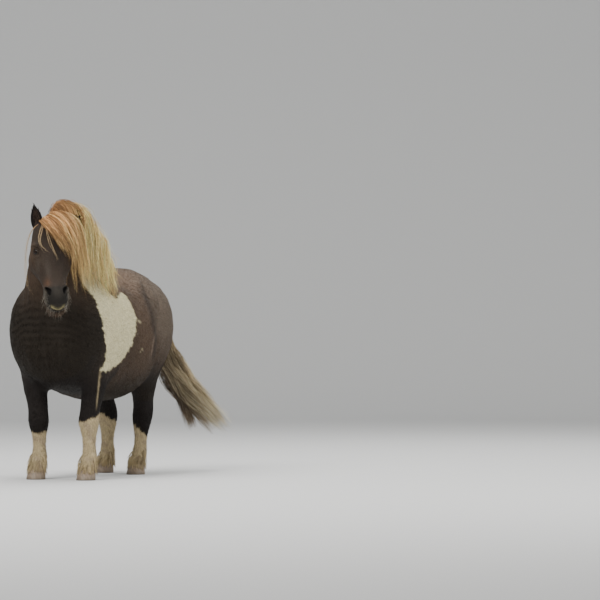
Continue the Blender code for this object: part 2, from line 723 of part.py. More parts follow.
def lock(path, wide, thick, side_way, root_way=None):
    """A flat tapered lock along a path, its width turning from one way at the root to another."""
    rings = []
    last = len(path) - 1
    for i, spot in enumerate(path):
        along = (path[min(i + 1, last)] - path[max(i - 1, 0)]).normalized()
        hint = (root_way or side_way).lerp(side_way, min(1.0, i / TURN_POINTS))
        up = hint.cross(along).normalized()
        across = along.cross(up)
        share = i / last
        half = wide * (0.60 + 0.9 * share - 1.40 * share ** 3)
        deep = thick * (1 - 0.75 * share)
        rings.append([spot + across * half, spot + up * deep, spot - across * half])
    return loft("lock", rings)


def clear_scene():
    for old in list(bpy.data.objects):
        bpy.data.objects.remove(old)


def head_plane():
    """Point and normal of the cut from behind the ears to the corners of the jaws."""
    frame = head_axes()
    corners = ((0, -0.055, -0.02), (0.08, -0.110, 0.20), (-0.08, -0.110, 0.20))
    top, left, right = (placed(frame, spot) for spot in corners)
    return (top * 2 + left + right) / 4, (right - left).cross(top - left).normalized()


def neck_plane():
    """Point and normal of the cut from withers to breast."""
    return (NECK_TOP + NECK_LOW) / 2, Vector((1, 0, 0)).cross(NECK_LOW - NECK_TOP).normalized()


def build_flesh(nodes):
    whole = flesh()
    fine = thinned(copied(whole, "head"), HEAD_DETAIL)
    plain = thinned(whole, BODY_DETAIL)
    middle, normal = head_plane()
    combine(fine, [slab("cut", middle, normal, 0.2, GAP)], "DIFFERENCE")
    nodes["head"] = split(fine, {"head": placed(head_axes(), (0, 0, 0.2))})["head"]
    cuts = [slab("cut", middle, normal, 0.2, GAP), slab("cut", *neck_plane(), 0.6, GAP), sole_box()]
    combine(plain, cuts, "DIFFERENCE")
    found = split(plain, {"neck": (0.02, -0.45, 1.0), "torso": (0, 0.1, 0.65)})
    nodes["neck"] = found["neck"]
    limbs = combine(copied(found["torso"], "limbs"), [limb_cover(TRUNK_COVER + GAP)], "DIFFERENCE")
    nodes["torso"] = keep(combine(found["torso"], [limb_cover(TRUNK_COVER)], "INTERSECT"))
    places = {}
    for name, side in SIDES.items():
        places["leg_fore_" + name] = (side * 0.150, -0.30, 0.35)
        places["leg_hind_" + name] = (side * 0.150, 0.37, 0.40)
    nodes.update(split(limbs, places))


def build_head(nodes):
    head_made = nodes["head"]
    lids = []
    for side in SIDES.values():
        lids.append(ball("lid", eye_frame(side).translation, EYE_RADIUS + LID_THICKNESS, 18, 10))
    combine(head_made, lids, "UNION")
    tools = [mouth()]
    for side in SIDES.values():
        tools.append(ball("hollow", eye_frame(side).translation, EYE_RADIUS + GAP))
        tools += [eye_opening(side), nostril(side)]
    combine(head_made, tools, "DIFFERENCE")
    nodes["head"] = keep(head_made)
    skull = grown(nodes["head"], GAP)
    for name, side in SIDES.items():
        nodes["eye_" + name] = ball("eye_" + name, eye_frame(side).translation, EYE_RADIUS)
        ear_made = combine(ear(name), [copied(skull, "skull")], "DIFFERENCE")
        nodes["ear_" + name] = keep(cleared(ear_made, [nodes["neck"]]))
    bpy.data.objects.remove(skull)


def build_hooves(nodes):
    for name, side in SIDES.items():
        nodes["hoof_fore_" + name] = hoof("hoof_fore_" + name, foot_place(FORE_LEG, side, 0.0))
        nodes["hoof_hind_" + name] = hoof("hoof_hind_" + name, foot_place(HIND_LEG, side, HIND_SWING[name]))


def skin_spot(tree, x, y):
    """Topmost point of the skin over a place, and its normal."""
    spot, normal, _, _ = tree.ray_cast(Vector((x, y, 2.0)), Vector((0, 0, -1)))
    return spot, normal


def row_at(rows, share):
    """The place part of the way along a row of places, 0 at its first and 1 at its last."""
    rows = np.array(rows, float)
    spots = np.linspace(0, 1, len(rows))
    return np.array([np.interp(share, spots, rows[:, k]) for k in range(rows.shape[1])])


def kept_off(spot, tree, lift):
    """The place, moved out along the nearest face until it is at least that far off."""
    near, normal, _, _ = tree.find_nearest(spot)
    lack = lift - (spot - near).dot(normal)
    return spot + normal * lack if lack > 0 and (spot - near).length < 0.12 else spot


def mane(trees):
    """Locks along the crest that rise over the left ear, stand out and fall down that side."""
    rng = random.Random(5)
    neck_tree, all_tree = trees
    made = []
    for count, reach, tip_high, tip_low in MANE_LAYERS:
        for i in range(count):
            share = (i + rng.uniform(0.2, 0.8)) / count
            x, y = row_at(MANE_ROOTS, share)
            spot, normal = skin_spot(neck_tree, x + rng.uniform(-0.006, 0.010), y)
            crown = Vector(row_at(MANE_CROWN, share))
            kept = reach * rng.uniform(0.94, 1.03)
            crown = spot + (crown - spot) * kept
            tip_x, tip_y = row_at(MANE_TIPS, share)
            high = tip_high + (tip_low - tip_high) * share + rng.uniform(-0.030, 0.025)
            tip = Vector((tip_x * (0.80 + 0.20 * kept), tip_y + rng.uniform(-0.010, 0.010), high))
            lifted = 0.030 + 0.5 * max(crown.z - spot.z, 0)
            rise = spot.lerp(crown, 0.38) + Vector((0, 0, lifted * kept))
            over = crown.lerp(tip, 0.30) + Vector((0.014, 0.008, 0.030)) * kept
            path = [rise, crown, over, crown.lerp(tip, 0.66), tip]
            path = [kept_off(place, all_tree, 0.010 + 0.012 * kept) for place in path]
            path = [spot - normal * 0.016, spot + normal * 0.010] + path
            turned = rng.uniform(-0.4, 0.4)
            across = Vector((0.50 + 0.8 * turned, 0.84 - 0.5 * turned, 0.0))
            made.append(lock(path, rng.choice((0.026, 0.029, 0.032)), 0.005, across, Vector((0, 1, 0))))
    return made


def forelock(trees):
    """Locks between the ears that sweep over the forehead to its left and fall beside it."""
    rng = random.Random(8)
    head_tree, all_tree = trees
    frame = head_axes()
    turn = frame.to_3x3()
    made = []
    for number, row in enumerate(FORELOCK):
        for moved in (-0.004, 0.006)[:1 + number % 2]:
            push = Vector((moved, 0.4 * moved, rng.uniform(-0.010, 0.006)))
            path = [placed(frame, Vector(place) + push * (i > 0)) for i, place in enumerate(row)]
            near, normal, _, _ = head_tree.find_nearest(path[0])
            lift = 0.009 + max(moved, 0.0)
            path = [near - normal * 0.012, near + normal * 0.008]
            path += [kept_off(placed(frame, Vector(place) + push), all_tree, lift) for place in row[1:]]
            made.append(lock(path, rng.choice((0.016, 0.018, 0.020)), 0.004, turn @ Vector((0.75, 0.35, -0.60))))
    return made


def tail_core():
    """The dock, thickest at its root and ending before half way to the tips."""
    rings = []
    path = [Vector(p) for p in TAIL_PATH[:5]]
    turns = np.linspace(0, 2 * math.pi, 10, endpoint=False)
    for i, radius in enumerate((0.034, 0.033, 0.030, 0.024, 0.012)):
        along = (path[min(i + 1, 4)] - path[max(i - 1, 0)]).normalized()
        across = along.cross(Vector((0, 0, 1))).normalized()
        up = across.cross(along)
        ring = [path[i] + (across * math.cos(t) + up * math.sin(t)) * radius for t in turns]
        rings.append(ring)
    return loft("tail", rings)


def tail_locks(count):
    """Locks that leave the dock all round it, run down the tail's path and spread."""
    rng = random.Random(11)
    path = np.array(TAIL_PATH)
    made = []
    for i in range(count):
        angle = 2.399 * i
        start = 1.3 + 2.2 * (i / count)
        stop = len(path) - 1 - rng.choice((0.0, 0.3, 0.7, 1.3))
        spread = math.sqrt((i + 0.5) / count)
        points = []
        for step in np.linspace(start, stop, 6):
            middle = Vector([np.interp(step, range(len(path)), path[:, k]) for k in range(3)])
            gone = step - start
            fan = np.interp(step, range(len(path)), TAIL_SPREAD) * spread * min(1.0, 0.3 + 1.2 * gone)
            turned = angle + 0.25 * gone
            points.append(middle + Vector((0.97, -0.20, 0.1)) * (math.cos(turned) * fan)
                          + Vector((0.15, 0.55, 0.2)) * (math.sin(turned) * fan))
        made.append(lock(points, rng.choice((0.015, 0.019, 0.023)), 0.005, Vector((0.95, 0.20, 0.30))))
    for moved in (-0.012, 0.010):
        points = [Vector(place) + Vector((moved, -0.4 * moved, 0)) for place in TAIL_FORK]
        made.append(lock(points, 0.014, 0.005, Vector((0.95, 0.20, 0.30))))
    return made


def feathers(name, middle, tree):
    """Short locks round the back and sides of a fetlock that hang close over the hoof."""
    rng = random.Random(name)
    made = []
    for angle in np.linspace(-2.1, 2.1, 7):
        turned = angle + rng.uniform(-0.08, 0.08)
        out = Vector((math.sin(turned), math.cos(turned), 0))
        start = Vector((middle[0], middle[1] + 0.015, 0.112 + rng.uniform(-0.006, 0.012)))
        near, normal, _, _ = tree.ray_cast(start + out * 0.2, -out)
        low = 0.014 + rng.uniform(0, 0.010)
        points = [near - out * 0.008]
        for share in (0.35, 0.7, 1.0):
            flat = Vector((middle[0], middle[1] - 0.003, 0)) + out * (0.0465 + 0.0055 * share)
            spot = near.lerp(flat, 0.25 + 0.75 * share)
            spot.z = near.z + (low - near.z) * share
            points.append(spot)
        made.append(lock(points, 0.017, 0.0035, out.cross(Vector((0, 0, 1)))))
    return made


def beard(trees):
    """Short whiskers under the chin."""
    rng = random.Random(3)
    frame = head_axes()
    turn = frame.to_3x3()
    made = []
    for side in (-0.022, -0.012, -0.003, 0.006, 0.015, 0.024):
        chin = placed(frame, (side, -0.075, 0.385 + rng.uniform(-0.02, 0.02)))
        near, normal, _, _ = trees[0].find_nearest(chin)
        hang = turn @ Vector((side, -0.35, 0.9)).normalized()
        size = rng.uniform(0.030, 0.042)
        points = [near - normal * 0.008, near + hang * size * 0.5 + normal * 0.004, near + hang * size]
        made.append(lock(points, 0.004, 0.002, turn @ Vector((1, 0, 0))))
    return made


def cleared(made, others):
    """The object cut a gap's width clear of others that it passes."""
    return combine(made, [grown(other, GAP) for other in others], "DIFFERENCE")


def build_hair(nodes):
    everything = tree_of(nodes.values())
    solid = [nodes[name] for name in ("torso", "head", "ear_left", "ear_right")]
    neck_made = combine(nodes["neck"], mane((tree_of([nodes["neck"]]), everything)), "UNION")
    nodes["neck"] = keep(cleared(neck_made, solid))
    head_trees = (tree_of([nodes["head"]]), everything)
    head_made = combine(nodes["head"], forelock(head_trees) + beard(head_trees), "UNION")
    nodes["head"] = keep(cleared(head_made, [nodes[name] for name in ("neck", "ear_left", "ear_right")]))
    tail = combine(tail_core(), tail_locks(TAIL_LOCKS), "UNION")
    legs = [nodes[name] for name in ("torso", "leg_hind_left", "leg_hind_right")]
    nodes["tail"] = keep(cleared(tail, legs))
    for name, side in SIDES.items():
        for which, stations, swing in (("fore", FORE_LEG, 0.0), ("hind", HIND_LEG, HIND_SWING[name])):
            leg_name = "leg_%s_%s" % (which, name)
            locks = feathers(leg_name, foot_place(stations, side, swing), tree_of([nodes[leg_name]]))
            feathered = combine(nodes[leg_name], locks, "UNION")
            nodes[leg_name] = keep(cleared(feathered, [nodes["hoof_%s_%s" % (which, name)]]))


def settle(nodes):
    """Moves every node so that the box of the whole stands with the middle of its floor at the origin."""
    points = np.vstack([[v.co for v in made.data.vertices] for made in nodes.values()])
    middle = (points.min(0) + points.max(0)) / 2
    for made in nodes.values():
        made.data.transform(Matrix.Translation((-middle[0], -middle[1], 0)))


clear_scene()
nodes = {}
build_flesh(nodes)
build_head(nodes)
build_hooves(nodes)
build_hair(nodes)
settle(nodes)
colours = {"eye": EYE, "hoof": HORN, "tail": TAIL}
for name, made in nodes.items():
    made.name = name
    kind = name.split("_")[0]
    dress(made, material(name + "_skin", colours.get(kind, COAT), ROUGHNESS.get(kind, 0.75)))
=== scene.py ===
"""The looks of a shetland pony standing still, life size, its head turned to its left.

All sizes are in metres. Shapes are made where the pony was first drawn, then moved onto the frame.
"""

import json
import math

import bmesh
import bpy
import numpy as np
from mathutils import Matrix, Vector
from mathutils.bvhtree import BVHTree

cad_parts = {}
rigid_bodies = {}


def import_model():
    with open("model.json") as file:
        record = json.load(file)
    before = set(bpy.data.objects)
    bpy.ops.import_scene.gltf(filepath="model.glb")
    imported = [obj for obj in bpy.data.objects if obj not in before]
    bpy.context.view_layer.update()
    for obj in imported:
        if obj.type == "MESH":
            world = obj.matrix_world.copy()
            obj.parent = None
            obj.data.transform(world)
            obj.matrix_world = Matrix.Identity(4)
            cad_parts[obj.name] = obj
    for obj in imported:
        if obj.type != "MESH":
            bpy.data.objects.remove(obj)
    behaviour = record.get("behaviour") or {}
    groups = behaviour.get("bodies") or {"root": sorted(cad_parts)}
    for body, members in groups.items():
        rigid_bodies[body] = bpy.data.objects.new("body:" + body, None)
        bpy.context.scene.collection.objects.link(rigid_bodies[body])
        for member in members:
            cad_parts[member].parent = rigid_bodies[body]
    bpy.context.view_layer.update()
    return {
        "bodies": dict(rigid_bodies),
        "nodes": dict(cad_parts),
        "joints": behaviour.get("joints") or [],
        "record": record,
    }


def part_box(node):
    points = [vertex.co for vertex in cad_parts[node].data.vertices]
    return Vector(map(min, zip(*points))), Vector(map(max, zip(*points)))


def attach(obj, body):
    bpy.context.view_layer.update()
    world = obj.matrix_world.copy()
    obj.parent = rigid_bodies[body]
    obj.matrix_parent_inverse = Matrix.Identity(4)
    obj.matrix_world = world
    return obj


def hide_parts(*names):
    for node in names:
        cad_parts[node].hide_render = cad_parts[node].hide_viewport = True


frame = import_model()

RING = 64

# Trunk stations from breast to buttock: y, top, bottom, half width, height of the widest place.
TRUNK = [
    (-0.540, 0.760, 0.640, 0.050, 0.700),
    (-0.520, 0.830, 0.570, 0.132, 0.690),
    (-0.470, 0.905, 0.500, 0.201, 0.680),
    (-0.400, 0.965, 0.450, 0.239, 0.670),
    (-0.320, 1.000, 0.425, 0.255, 0.665),
    (-0.220, 1.010, 0.405, 0.257, 0.655),
    (-0.080, 0.986, 0.380, 0.268, 0.635),
    (0.060, 0.978, 0.362, 0.280, 0.625),
    (0.180, 0.995, 0.372, 0.274, 0.635),
    (0.290, 1.018, 0.420, 0.256, 0.665),
    (0.380, 1.020, 0.500, 0.240, 0.710),
    (0.460, 0.980, 0.580, 0.214, 0.745),
    (0.522, 0.910, 0.650, 0.172, 0.765),
    (0.558, 0.840, 0.715, 0.098, 0.770),
]
# Neck stations from withers to poll: crest point, throat point, half width.
NECK = [
    (0.000, -0.110, 0.960, 0.000, -0.460, 0.600, 0.185),
    (0.000, -0.190, 1.012, 0.000, -0.530, 0.730, 0.165),
    (0.002, -0.285, 1.092, 0.005, -0.562, 0.850, 0.134),
    (0.010, -0.385, 1.185, 0.018, -0.560, 0.935, 0.108),
    (0.025, -0.470, 1.235, 0.036, -0.560, 1.000, 0.090),
    (0.045, -0.550, 1.240, 0.054, -0.575, 1.050, 0.078),
    (0.060, -0.610, 1.205, 0.068, -0.605, 1.090, 0.060),
]
# Fore leg stations from elbow to coronet: z, x, y, half width, reach forward, reach back.
FORE_LEG = [
    (0.640, 0.160, -0.310, 0.060, 0.085, 0.110),
    (0.560, 0.165, -0.300, 0.066, 0.080, 0.095),
    (0.480, 0.158, -0.295, 0.065, 0.068, 0.074),
    (0.410, 0.148, -0.295, 0.058, 0.056, 0.060),
    (0.350, 0.138, -0.297, 0.052, 0.048, 0.049),
    (0.310, 0.133, -0.299, 0.052, 0.047, 0.045),
    (0.275, 0.131, -0.301, 0.053, 0.048, 0.044),
    (0.240, 0.130, -0.300, 0.045, 0.040, 0.041),
    (0.205, 0.130, -0.298, 0.036, 0.032, 0.037),
    (0.160, 0.130, -0.297, 0.033, 0.029, 0.035),
    (0.125, 0.130, -0.297, 0.035, 0.032, 0.040),
    (0.102, 0.130, -0.300, 0.039, 0.036, 0.044),
    (0.080, 0.130, -0.308, 0.037, 0.035, 0.037),
    (0.060, 0.130, -0.317, 0.038, 0.036, 0.036),
    (0.030, 0.130, -0.329, 0.043, 0.042, 0.042),
]
# Hind leg stations from hip to coronet, as for the fore leg, before each leg's own swing.
HIND_LEG = [
    (0.820, 0.120, 0.370, 0.080, 0.110, 0.120),
    (0.740, 0.140, 0.360, 0.105, 0.145, 0.150),
    (0.640, 0.148, 0.345, 0.112, 0.145, 0.186),
    (0.550, 0.144, 0.345, 0.090, 0.114, 0.153),
    (0.480, 0.136, 0.362, 0.073, 0.088, 0.110),
    (0.410, 0.125, 0.392, 0.061, 0.062, 0.068),
    (0.360, 0.117, 0.420, 0.054, 0.052, 0.056),
    (0.325, 0.113, 0.435, 0.053, 0.052, 0.055),
    (0.285, 0.110, 0.439, 0.053, 0.051, 0.050),
    (0.245, 0.109, 0.437, 0.046, 0.043, 0.044),
    (0.205, 0.109, 0.433, 0.037, 0.034, 0.037),
    (0.160, 0.110, 0.428, 0.032, 0.030, 0.034),
    (0.125, 0.110, 0.424, 0.035, 0.032, 0.039),
    (0.102, 0.110, 0.420, 0.038, 0.036, 0.043),
    (0.080, 0.110, 0.411, 0.036, 0.034, 0.036),
    (0.060, 0.110, 0.401, 0.037, 0.035, 0.035),
    (0.030, 0.110, 0.388, 0.042, 0.041, 0.041),
]
HIP_HEIGHT = 0.64
HIND_SWING = {"left": -0.080, "right": 0.050}
SIDES = {"left": 1, "right": -1}

# Rounded muscles laid over the lofts: centre, radii.
MUSCLES = [
    ((0.148, -0.345, 0.710), (0.104, 0.142, 0.220)),
    ((0.150, -0.275, 0.600), (0.090, 0.120, 0.140)),
    ((0.075, -0.450, 0.640), (0.088, 0.085, 0.130)),
    ((0.131, 0.394, 0.722), (0.134, 0.174, 0.238)),
    ((0.080, 0.320, 0.875), (0.122, 0.160, 0.125)),
    ((0.102, 0.455, 0.715), (0.108, 0.098, 0.185)),
]

# The head hangs from the poll: its place, then how far it is pitched forward, turned left and tilted.
POLL = Vector((0.048, -0.600, 1.198))
HEAD_PITCH = math.radians(24)
HEAD_YAW = math.radians(32)
HEAD_ROLL = math.radians(-4)
# Head stations from poll to lips: down, front, back, half width, depth of the widest place.
HEAD = [
    (-0.030, 0.012, -0.050, 0.038, -0.020),
    (-0.010, 0.026, -0.070, 0.056, -0.018),
    (0.030, 0.044, -0.098, 0.070, -0.004),
    (0.070, 0.055, -0.120, 0.080, 0.008),
    (0.115, 0.061, -0.133, 0.090, 0.004),
    (0.155, 0.062, -0.135, 0.097, -0.010),
    (0.195, 0.060, -0.127, 0.095, -0.026),
    (0.230, 0.055, -0.105, 0.082, -0.018),
    (0.265, 0.050, -0.079, 0.066, -0.006),
    (0.305, 0.047, -0.063, 0.056, -0.004),
    (0.345, 0.050, -0.058, 0.058, 0.000),
    (0.375, 0.050, -0.060, 0.056, -0.002),
    (0.400, 0.043, -0.056, 0.047, -0.004),
    (0.420, 0.028, -0.046, 0.034, -0.008),
    (0.431, 0.010, -0.028, 0.017, -0.010),
]

# Sculpting strokes on the head: centre, radii and push, each as side, front, down.
HEAD_STROKES = [
    ((0.086, 0.036, 0.122), (0.034, 0.030, 0.034), (0.011, 0.004, 0.000)),
    ((0.066, 0.054, 0.080), (0.030, 0.032, 0.045), (-0.003, -0.005, 0.000)),
    ((0.088, 0.010, 0.185), (0.026, 0.020, 0.050), (0.006, 0.000, 0.000)),
    ((0.056, 0.020, 0.270), (0.028, 0.034, 0.070), (-0.008, 0.000, 0.000)),
    ((0.050, 0.036, 0.346), (0.028, 0.030, 0.038), (0.009, 0.007, 0.000)),
    ((0.086, -0.070, 0.150), (0.034, 0.060, 0.075), (0.008, 0.000, 0.000)),
    ((0.000, -0.140, 0.170), (0.030, 0.045, 0.100), (0.000, 0.022, 0.000)),
    ((0.000, -0.060, 0.400), (0.034, 0.024, 0.030), (0.000, -0.013, 0.003)),
    ((0.000, -0.064, 0.345), (0.045, 0.022, 0.030), (0.000, 0.008, 0.000)),
    ((0.000, 0.020, 0.430), (0.040, 0.026, 0.022), (0.000, 0.003, 0.008)),
    ((0.030, 0.058, 0.235), (0.022, 0.022, 0.100), (0.000, -0.003, 0.000)),
]
# Sculpting strokes on the body, as x, y, z.
BODY_STROKES = [
    ((0.235, 0.235, 0.640), (0.070, 0.055, 0.170), (-0.016, 0.000, 0.000)),
    ((0.200, -0.190, 0.740), (0.070, 0.050, 0.200), (-0.010, 0.000, 0.000)),
    ((0.000, -0.540, 0.680), (0.030, 0.050, 0.130), (0.000, 0.016, 0.000)),
    ((0.000, 0.545, 0.640), (0.024, 0.070, 0.150), (0.000, -0.022, 0.000)),
    ((0.105, -0.520, 0.960), (0.040, 0.050, 0.160), (-0.010, 0.006, 0.000)),
    ((0.110, 0.500, 0.345), (0.030, 0.034, 0.034), (0.000, 0.012, 0.004)),
]

EYE_RADIUS = 0.0185
EYE_CENTRE = Vector((0.0660, 0.0300, 0.147))
EYE_LOOK = Vector((0.86, 0.48, -0.05)).normalized()
LID_THICKNESS = 0.0030
LID_HALF_LENGTH = 0.0175
LID_HALF_HEIGHT = 0.0098
NOSTRIL_CENTRE = Vector((0.046, 0.044, 0.346))
NOSTRIL_RADII = (0.0075, 0.024)
MOUTH_DEPTH = -0.024
MOUTH_CORNER = 0.350
MOUTH_INNER = (0.048, 0.072)
MOUTH_HEIGHT = 0.0028

EAR_LENGTH = 0.117
# Ear stations from root to tip: share of the length, half width, reach back, reach forward.
EAR = [
    (0.00, 0.021, 0.020, 0.018),
    (0.14, 0.024, 0.022, 0.006),
    (0.28, 0.028, 0.024, -0.014),
    (0.46, 0.0285, 0.023, -0.016),
    (0.64, 0.025, 0.019, -0.013),
    (0.80, 0.018, 0.013, -0.0085),
    (0.93, 0.009, 0.007, -0.0035),
    (1.00, 0.003, 0.003, 0.0005),
]
# Each ear's root, the way its tip points and the way its cup opens, as side, front, down.
EARS = {
    "right": (Vector((-0.038, -0.022, 0.012)), Vector((-0.04, 0.16, -0.98)), Vector((-0.42, 0.90, 0.0))),
    "left": (Vector((0.054, -0.026, 0.006)), Vector((0.90, 0.06, -0.44)), Vector((0.05, 0.80, 0.50))),
}

CORONET = 0.046
# Hoof rings from coronet to sole: height, forward shift, half width, reach forward, reach back.
HOOF = [
    (CORONET - 0.0003, 0.000, 0.0405, 0.0395, 0.0385),
    (0.024, 0.005, 0.0430, 0.0445, 0.0390),
    (0.004, 0.010, 0.0460, 0.0490, 0.0395),
    (0.000, 0.010, 0.0450, 0.0480, 0.0385),
]

BODY_VOXEL = 0.0082

# Where the mane grows along the crest, from poll to withers, seen from above.
MANE_ROOTS = [
    (0.041, -0.528), (0.035, -0.506), (0.028, -0.470), (0.020, -0.425),
    (0.012, -0.375), (0.006, -0.325), (0.002, -0.275), (0.000, -0.225),
]
# How far the mane stands out and up before it falls, from poll to withers: x, y and z of its crown.
MANE_CROWN = [
    (0.112, -0.530, 1.282), (0.155, -0.480, 1.292), (0.184, -0.420, 1.276), (0.197, -0.355, 1.204),
    (0.200, -0.285, 1.112), (0.192, -0.205, 1.030),
]
# Where the tips of the mane hang from poll to withers, seen from above.
MANE_TIPS = [
    (0.155, -0.530), (0.185, -0.460), (0.208, -0.390), (0.225, -0.315), (0.238, -0.240), (0.244, -0.180),
]
# Mane layers: guides, reach of the crown, height of the tips at poll and withers.
MANE_LAYERS = [(34, 0.35, 0.960, 0.930), (38, 0.60, 0.930, 0.905), (44, 0.82, 0.900, 0.875), (34, 0.97, 0.880, 0.850)]

# Locks of the forelock from its right edge to its left: places as side, front and down of the head.
FORELOCK = [
    [(-0.024, -0.006, -0.020), (-0.024, 0.050, 0.000), (-0.006, 0.085, 0.045), (0.022, 0.090, 0.092),
     (0.050, 0.076, 0.140), (0.070, 0.062, 0.185)],
    [(-0.016, -0.010, -0.024), (-0.012, 0.055, -0.010), (0.016, 0.092, 0.045), (0.046, 0.090, 0.095),
     (0.072, 0.070, 0.150), (0.086, 0.052, 0.210)],
    [(-0.006, -0.012, -0.028), (0.004, 0.056, -0.022), (0.040, 0.090, 0.030), (0.070, 0.080, 0.085),
     (0.092, 0.060, 0.150), (0.098, 0.040, 0.235)],
    [(0.004, -0.014, -0.030), (0.024, 0.050, -0.034), (0.064, 0.080, 0.012), (0.094, 0.068, 0.070),
     (0.110, 0.050, 0.150), (0.108, 0.032, 0.265)],
    [(0.014, -0.016, -0.032), (0.044, 0.040, -0.044), (0.086, 0.066, 0.000), (0.116, 0.052, 0.060),
     (0.128, 0.036, 0.160), (0.120, 0.024, 0.300)],
    [(0.020, -0.012, -0.030), (0.062, 0.028, -0.048), (0.108, 0.046, -0.010), (0.136, 0.036, 0.060),
     (0.146, 0.020, 0.170), (0.136, 0.012, 0.330)],
    [(0.027, -0.013, -0.026), (0.078, 0.012, -0.048), (0.126, 0.024, -0.014), (0.154, 0.014, 0.060),
     (0.164, 0.002, 0.180), (0.152, 0.000, 0.345)],
]

# The line of the tail from the rump to its tip.
TAIL_PATH = [
    (0.000, 0.490, 0.912), (0.002, 0.548, 0.893), (0.014, 0.598, 0.845), (0.044, 0.642, 0.770),
    (0.080, 0.685, 0.675), (0.112, 0.728, 0.560), (0.165, 0.768, 0.437), (0.255, 0.800, 0.325),
    (0.358, 0.832, 0.205),
]
# A thin fork of the tail that hangs inside the rest.
TAIL_FORK = [
    (0.080, 0.680, 0.660), (0.112, 0.715, 0.560), (0.148, 0.745, 0.450), (0.170, 0.765, 0.360), (0.198, 0.780, 0.280),
    (0.222, 0.790, 0.205),
]
# Spread of the tail about its path, from root to tip.
TAIL_SPREAD = (0.0, 0.010, 0.022, 0.033, 0.042, 0.053, 0.066, 0.072, 0.064)


def spline(rows, count):
    """Rows of numbers read at even steps from a smooth curve through the given rows."""
    rows = np.array(rows, float)
    padded = np.vstack([2 * rows[0] - rows[1], rows, 2 * rows[-1] - rows[-2]])
    found = []
    for place in np.linspace(0, len(rows) - 1, count):
        i = min(int(place), len(rows) - 2)
        a, b, c, d = padded[i : i + 4]
        t = place - i
        bend = (2 * a - 5 * b + 4 * c - d) * t**2 + (3 * b - a - 3 * c + d) * t**3
        found.append(0.5 * (2 * b + (c - a) * t + bend))
    return np.array(found)


def oval(half, front, back, square=1.0):
    """Ring of (side, depth) pairs: half wide, reaching front one way and back the other."""
    turns = np.linspace(0, 2 * math.pi, RING, endpoint=False)
    side = half * np.sign(np.cos(turns)) * np.abs(np.cos(turns)) ** square
    rise = np.abs(np.sin(turns)) ** square
    return side, np.where(np.sin(turns) >= 0, rise * front, -rise * back)


def mesh_object(name, points, faces):
    """A mesh object whose faces point out."""
    mesh = bpy.data.meshes.new(name)
    mesh.from_pydata([tuple(p) for p in points], [], faces)
    work = bmesh.new()
    work.from_mesh(mesh)
    bmesh.ops.recalc_face_normals(work, faces=work.faces)
    work.to_mesh(mesh)
    work.free()
    found = bpy.data.objects.new(name, mesh)
    bpy.context.scene.collection.objects.link(found)
    return found


def loft(name, rings):
    """A closed skin over rings of points, with each end drawn to its own middle."""
    rings = np.array(rings, float)
    rows, size = rings.shape[:2]
    points = np.vstack([rings.reshape(-1, 3), rings[0].mean(0), rings[-1].mean(0)])
    faces = []
    for i in range(size):
        j = (i + 1) % size
        faces += [
            (r * size + i, r * size + j, (r + 1) * size + j, (r + 1) * size + i) for r in range(rows - 1)
        ]
        faces += [(rows * size, j, i), (rows * size + 1, (rows - 1) * size + i, (rows - 1) * size + j)]
    return mesh_object(name, points, faces)


def trunk():
    rings = []
    for y, top, bottom, half, widest in spline(TRUNK, 40):
        x, z = oval(half, top - widest, widest - bottom, 0.92)
        rings.append(np.column_stack([x, np.full(RING, y), widest + z]))
    return loft("trunk", rings)


def neck():
    rows = spline(NECK, 24)
    crest, throat, half = rows[:, :3], rows[:, 3:6], rows[:, 6]
    middle = (crest + throat) / 2
    along = np.gradient(middle, axis=0)
    rings = []
    for c, t, h, m, a in zip(crest, throat, half, middle, along):
        depth = (c - t) / 2
        side = np.cross(a, depth)
        side = side / np.linalg.norm(side)
        x, d = oval(h, 1.0, 1.0, 0.9)
        rings.append(m + np.outer(x, side) + np.outer(d, depth))
    return loft("neck", rings)


def leg(stations, side, swing=0.0):
    """A leg lofted from its stations, its foot swung back by that much."""
    rings = []
    for z, x, y, half, front, back in spline(stations, 44):
        moved = y + swing * max(0.0, 1 - z / HIP_HEIGHT)
        across, along = oval(half, front, back, 0.95)
        rings.append(np.column_stack([side * x + across, moved - along, np.full(RING, z)]))
    return loft("leg", rings)


def muscle(centre, radii, side):
    turns = np.linspace(0, math.pi, 14)[1:-1]
    rings = []
    for t in turns:
        x, y = oval(radii[0] * math.sin(t), radii[1] * math.sin(t), radii[1] * math.sin(t))
        z = np.full(RING, radii[2] * math.cos(t))
        rings.append(np.column_stack([side * centre[0] + x, centre[1] + y, centre[2] + z]))
    return loft("muscle", rings)


def head_axes():
    """Matrix whose columns are the head's side, front and down directions, and its place."""
    turn = Matrix.Rotation(HEAD_YAW, 4, "Z") @ Matrix.Rotation(-HEAD_PITCH, 4, "X")
    hang = Matrix(((1, 0, 0, 0), (0, -1, 0, 0), (0, 0, -1, 0), (0, 0, 0, 1)))
    tilt = Matrix.Rotation(HEAD_ROLL, 4, "Y")
    return Matrix.Translation(POLL) @ turn @ tilt @ hang


def head():
    rings = []
    for down, front, back, half, widest in spline(HEAD, 40):
        side, depth = oval(half, front - widest, widest - back, 0.88)
        rings.append(np.column_stack([side, widest + depth, np.full(RING, down)]))
    made = loft("head", rings)
    made.data.transform(head_axes())
    return made


def apply_modifiers(made):
    """The object's mesh as its modifiers leave it."""
    bpy.context.view_layer.update()
    graph = bpy.context.evaluated_depsgraph_get()
    old = made.data
    made.data = bpy.data.meshes.new_from_object(made.evaluated_get(graph))
    made.modifiers.clear()
    bpy.data.meshes.remove(old)
    return made


def joined(name, made):
    """Several mesh objects as one, their faces untouched."""
    work = bmesh.new()
    for one in made:
        work.from_mesh(one.data)
        bpy.data.objects.remove(one)
    mesh = bpy.data.meshes.new(name)
    work.to_mesh(mesh)
    work.free()
    found = bpy.data.objects.new(name, mesh)
    bpy.context.scene.collection.objects.link(found)
    return found


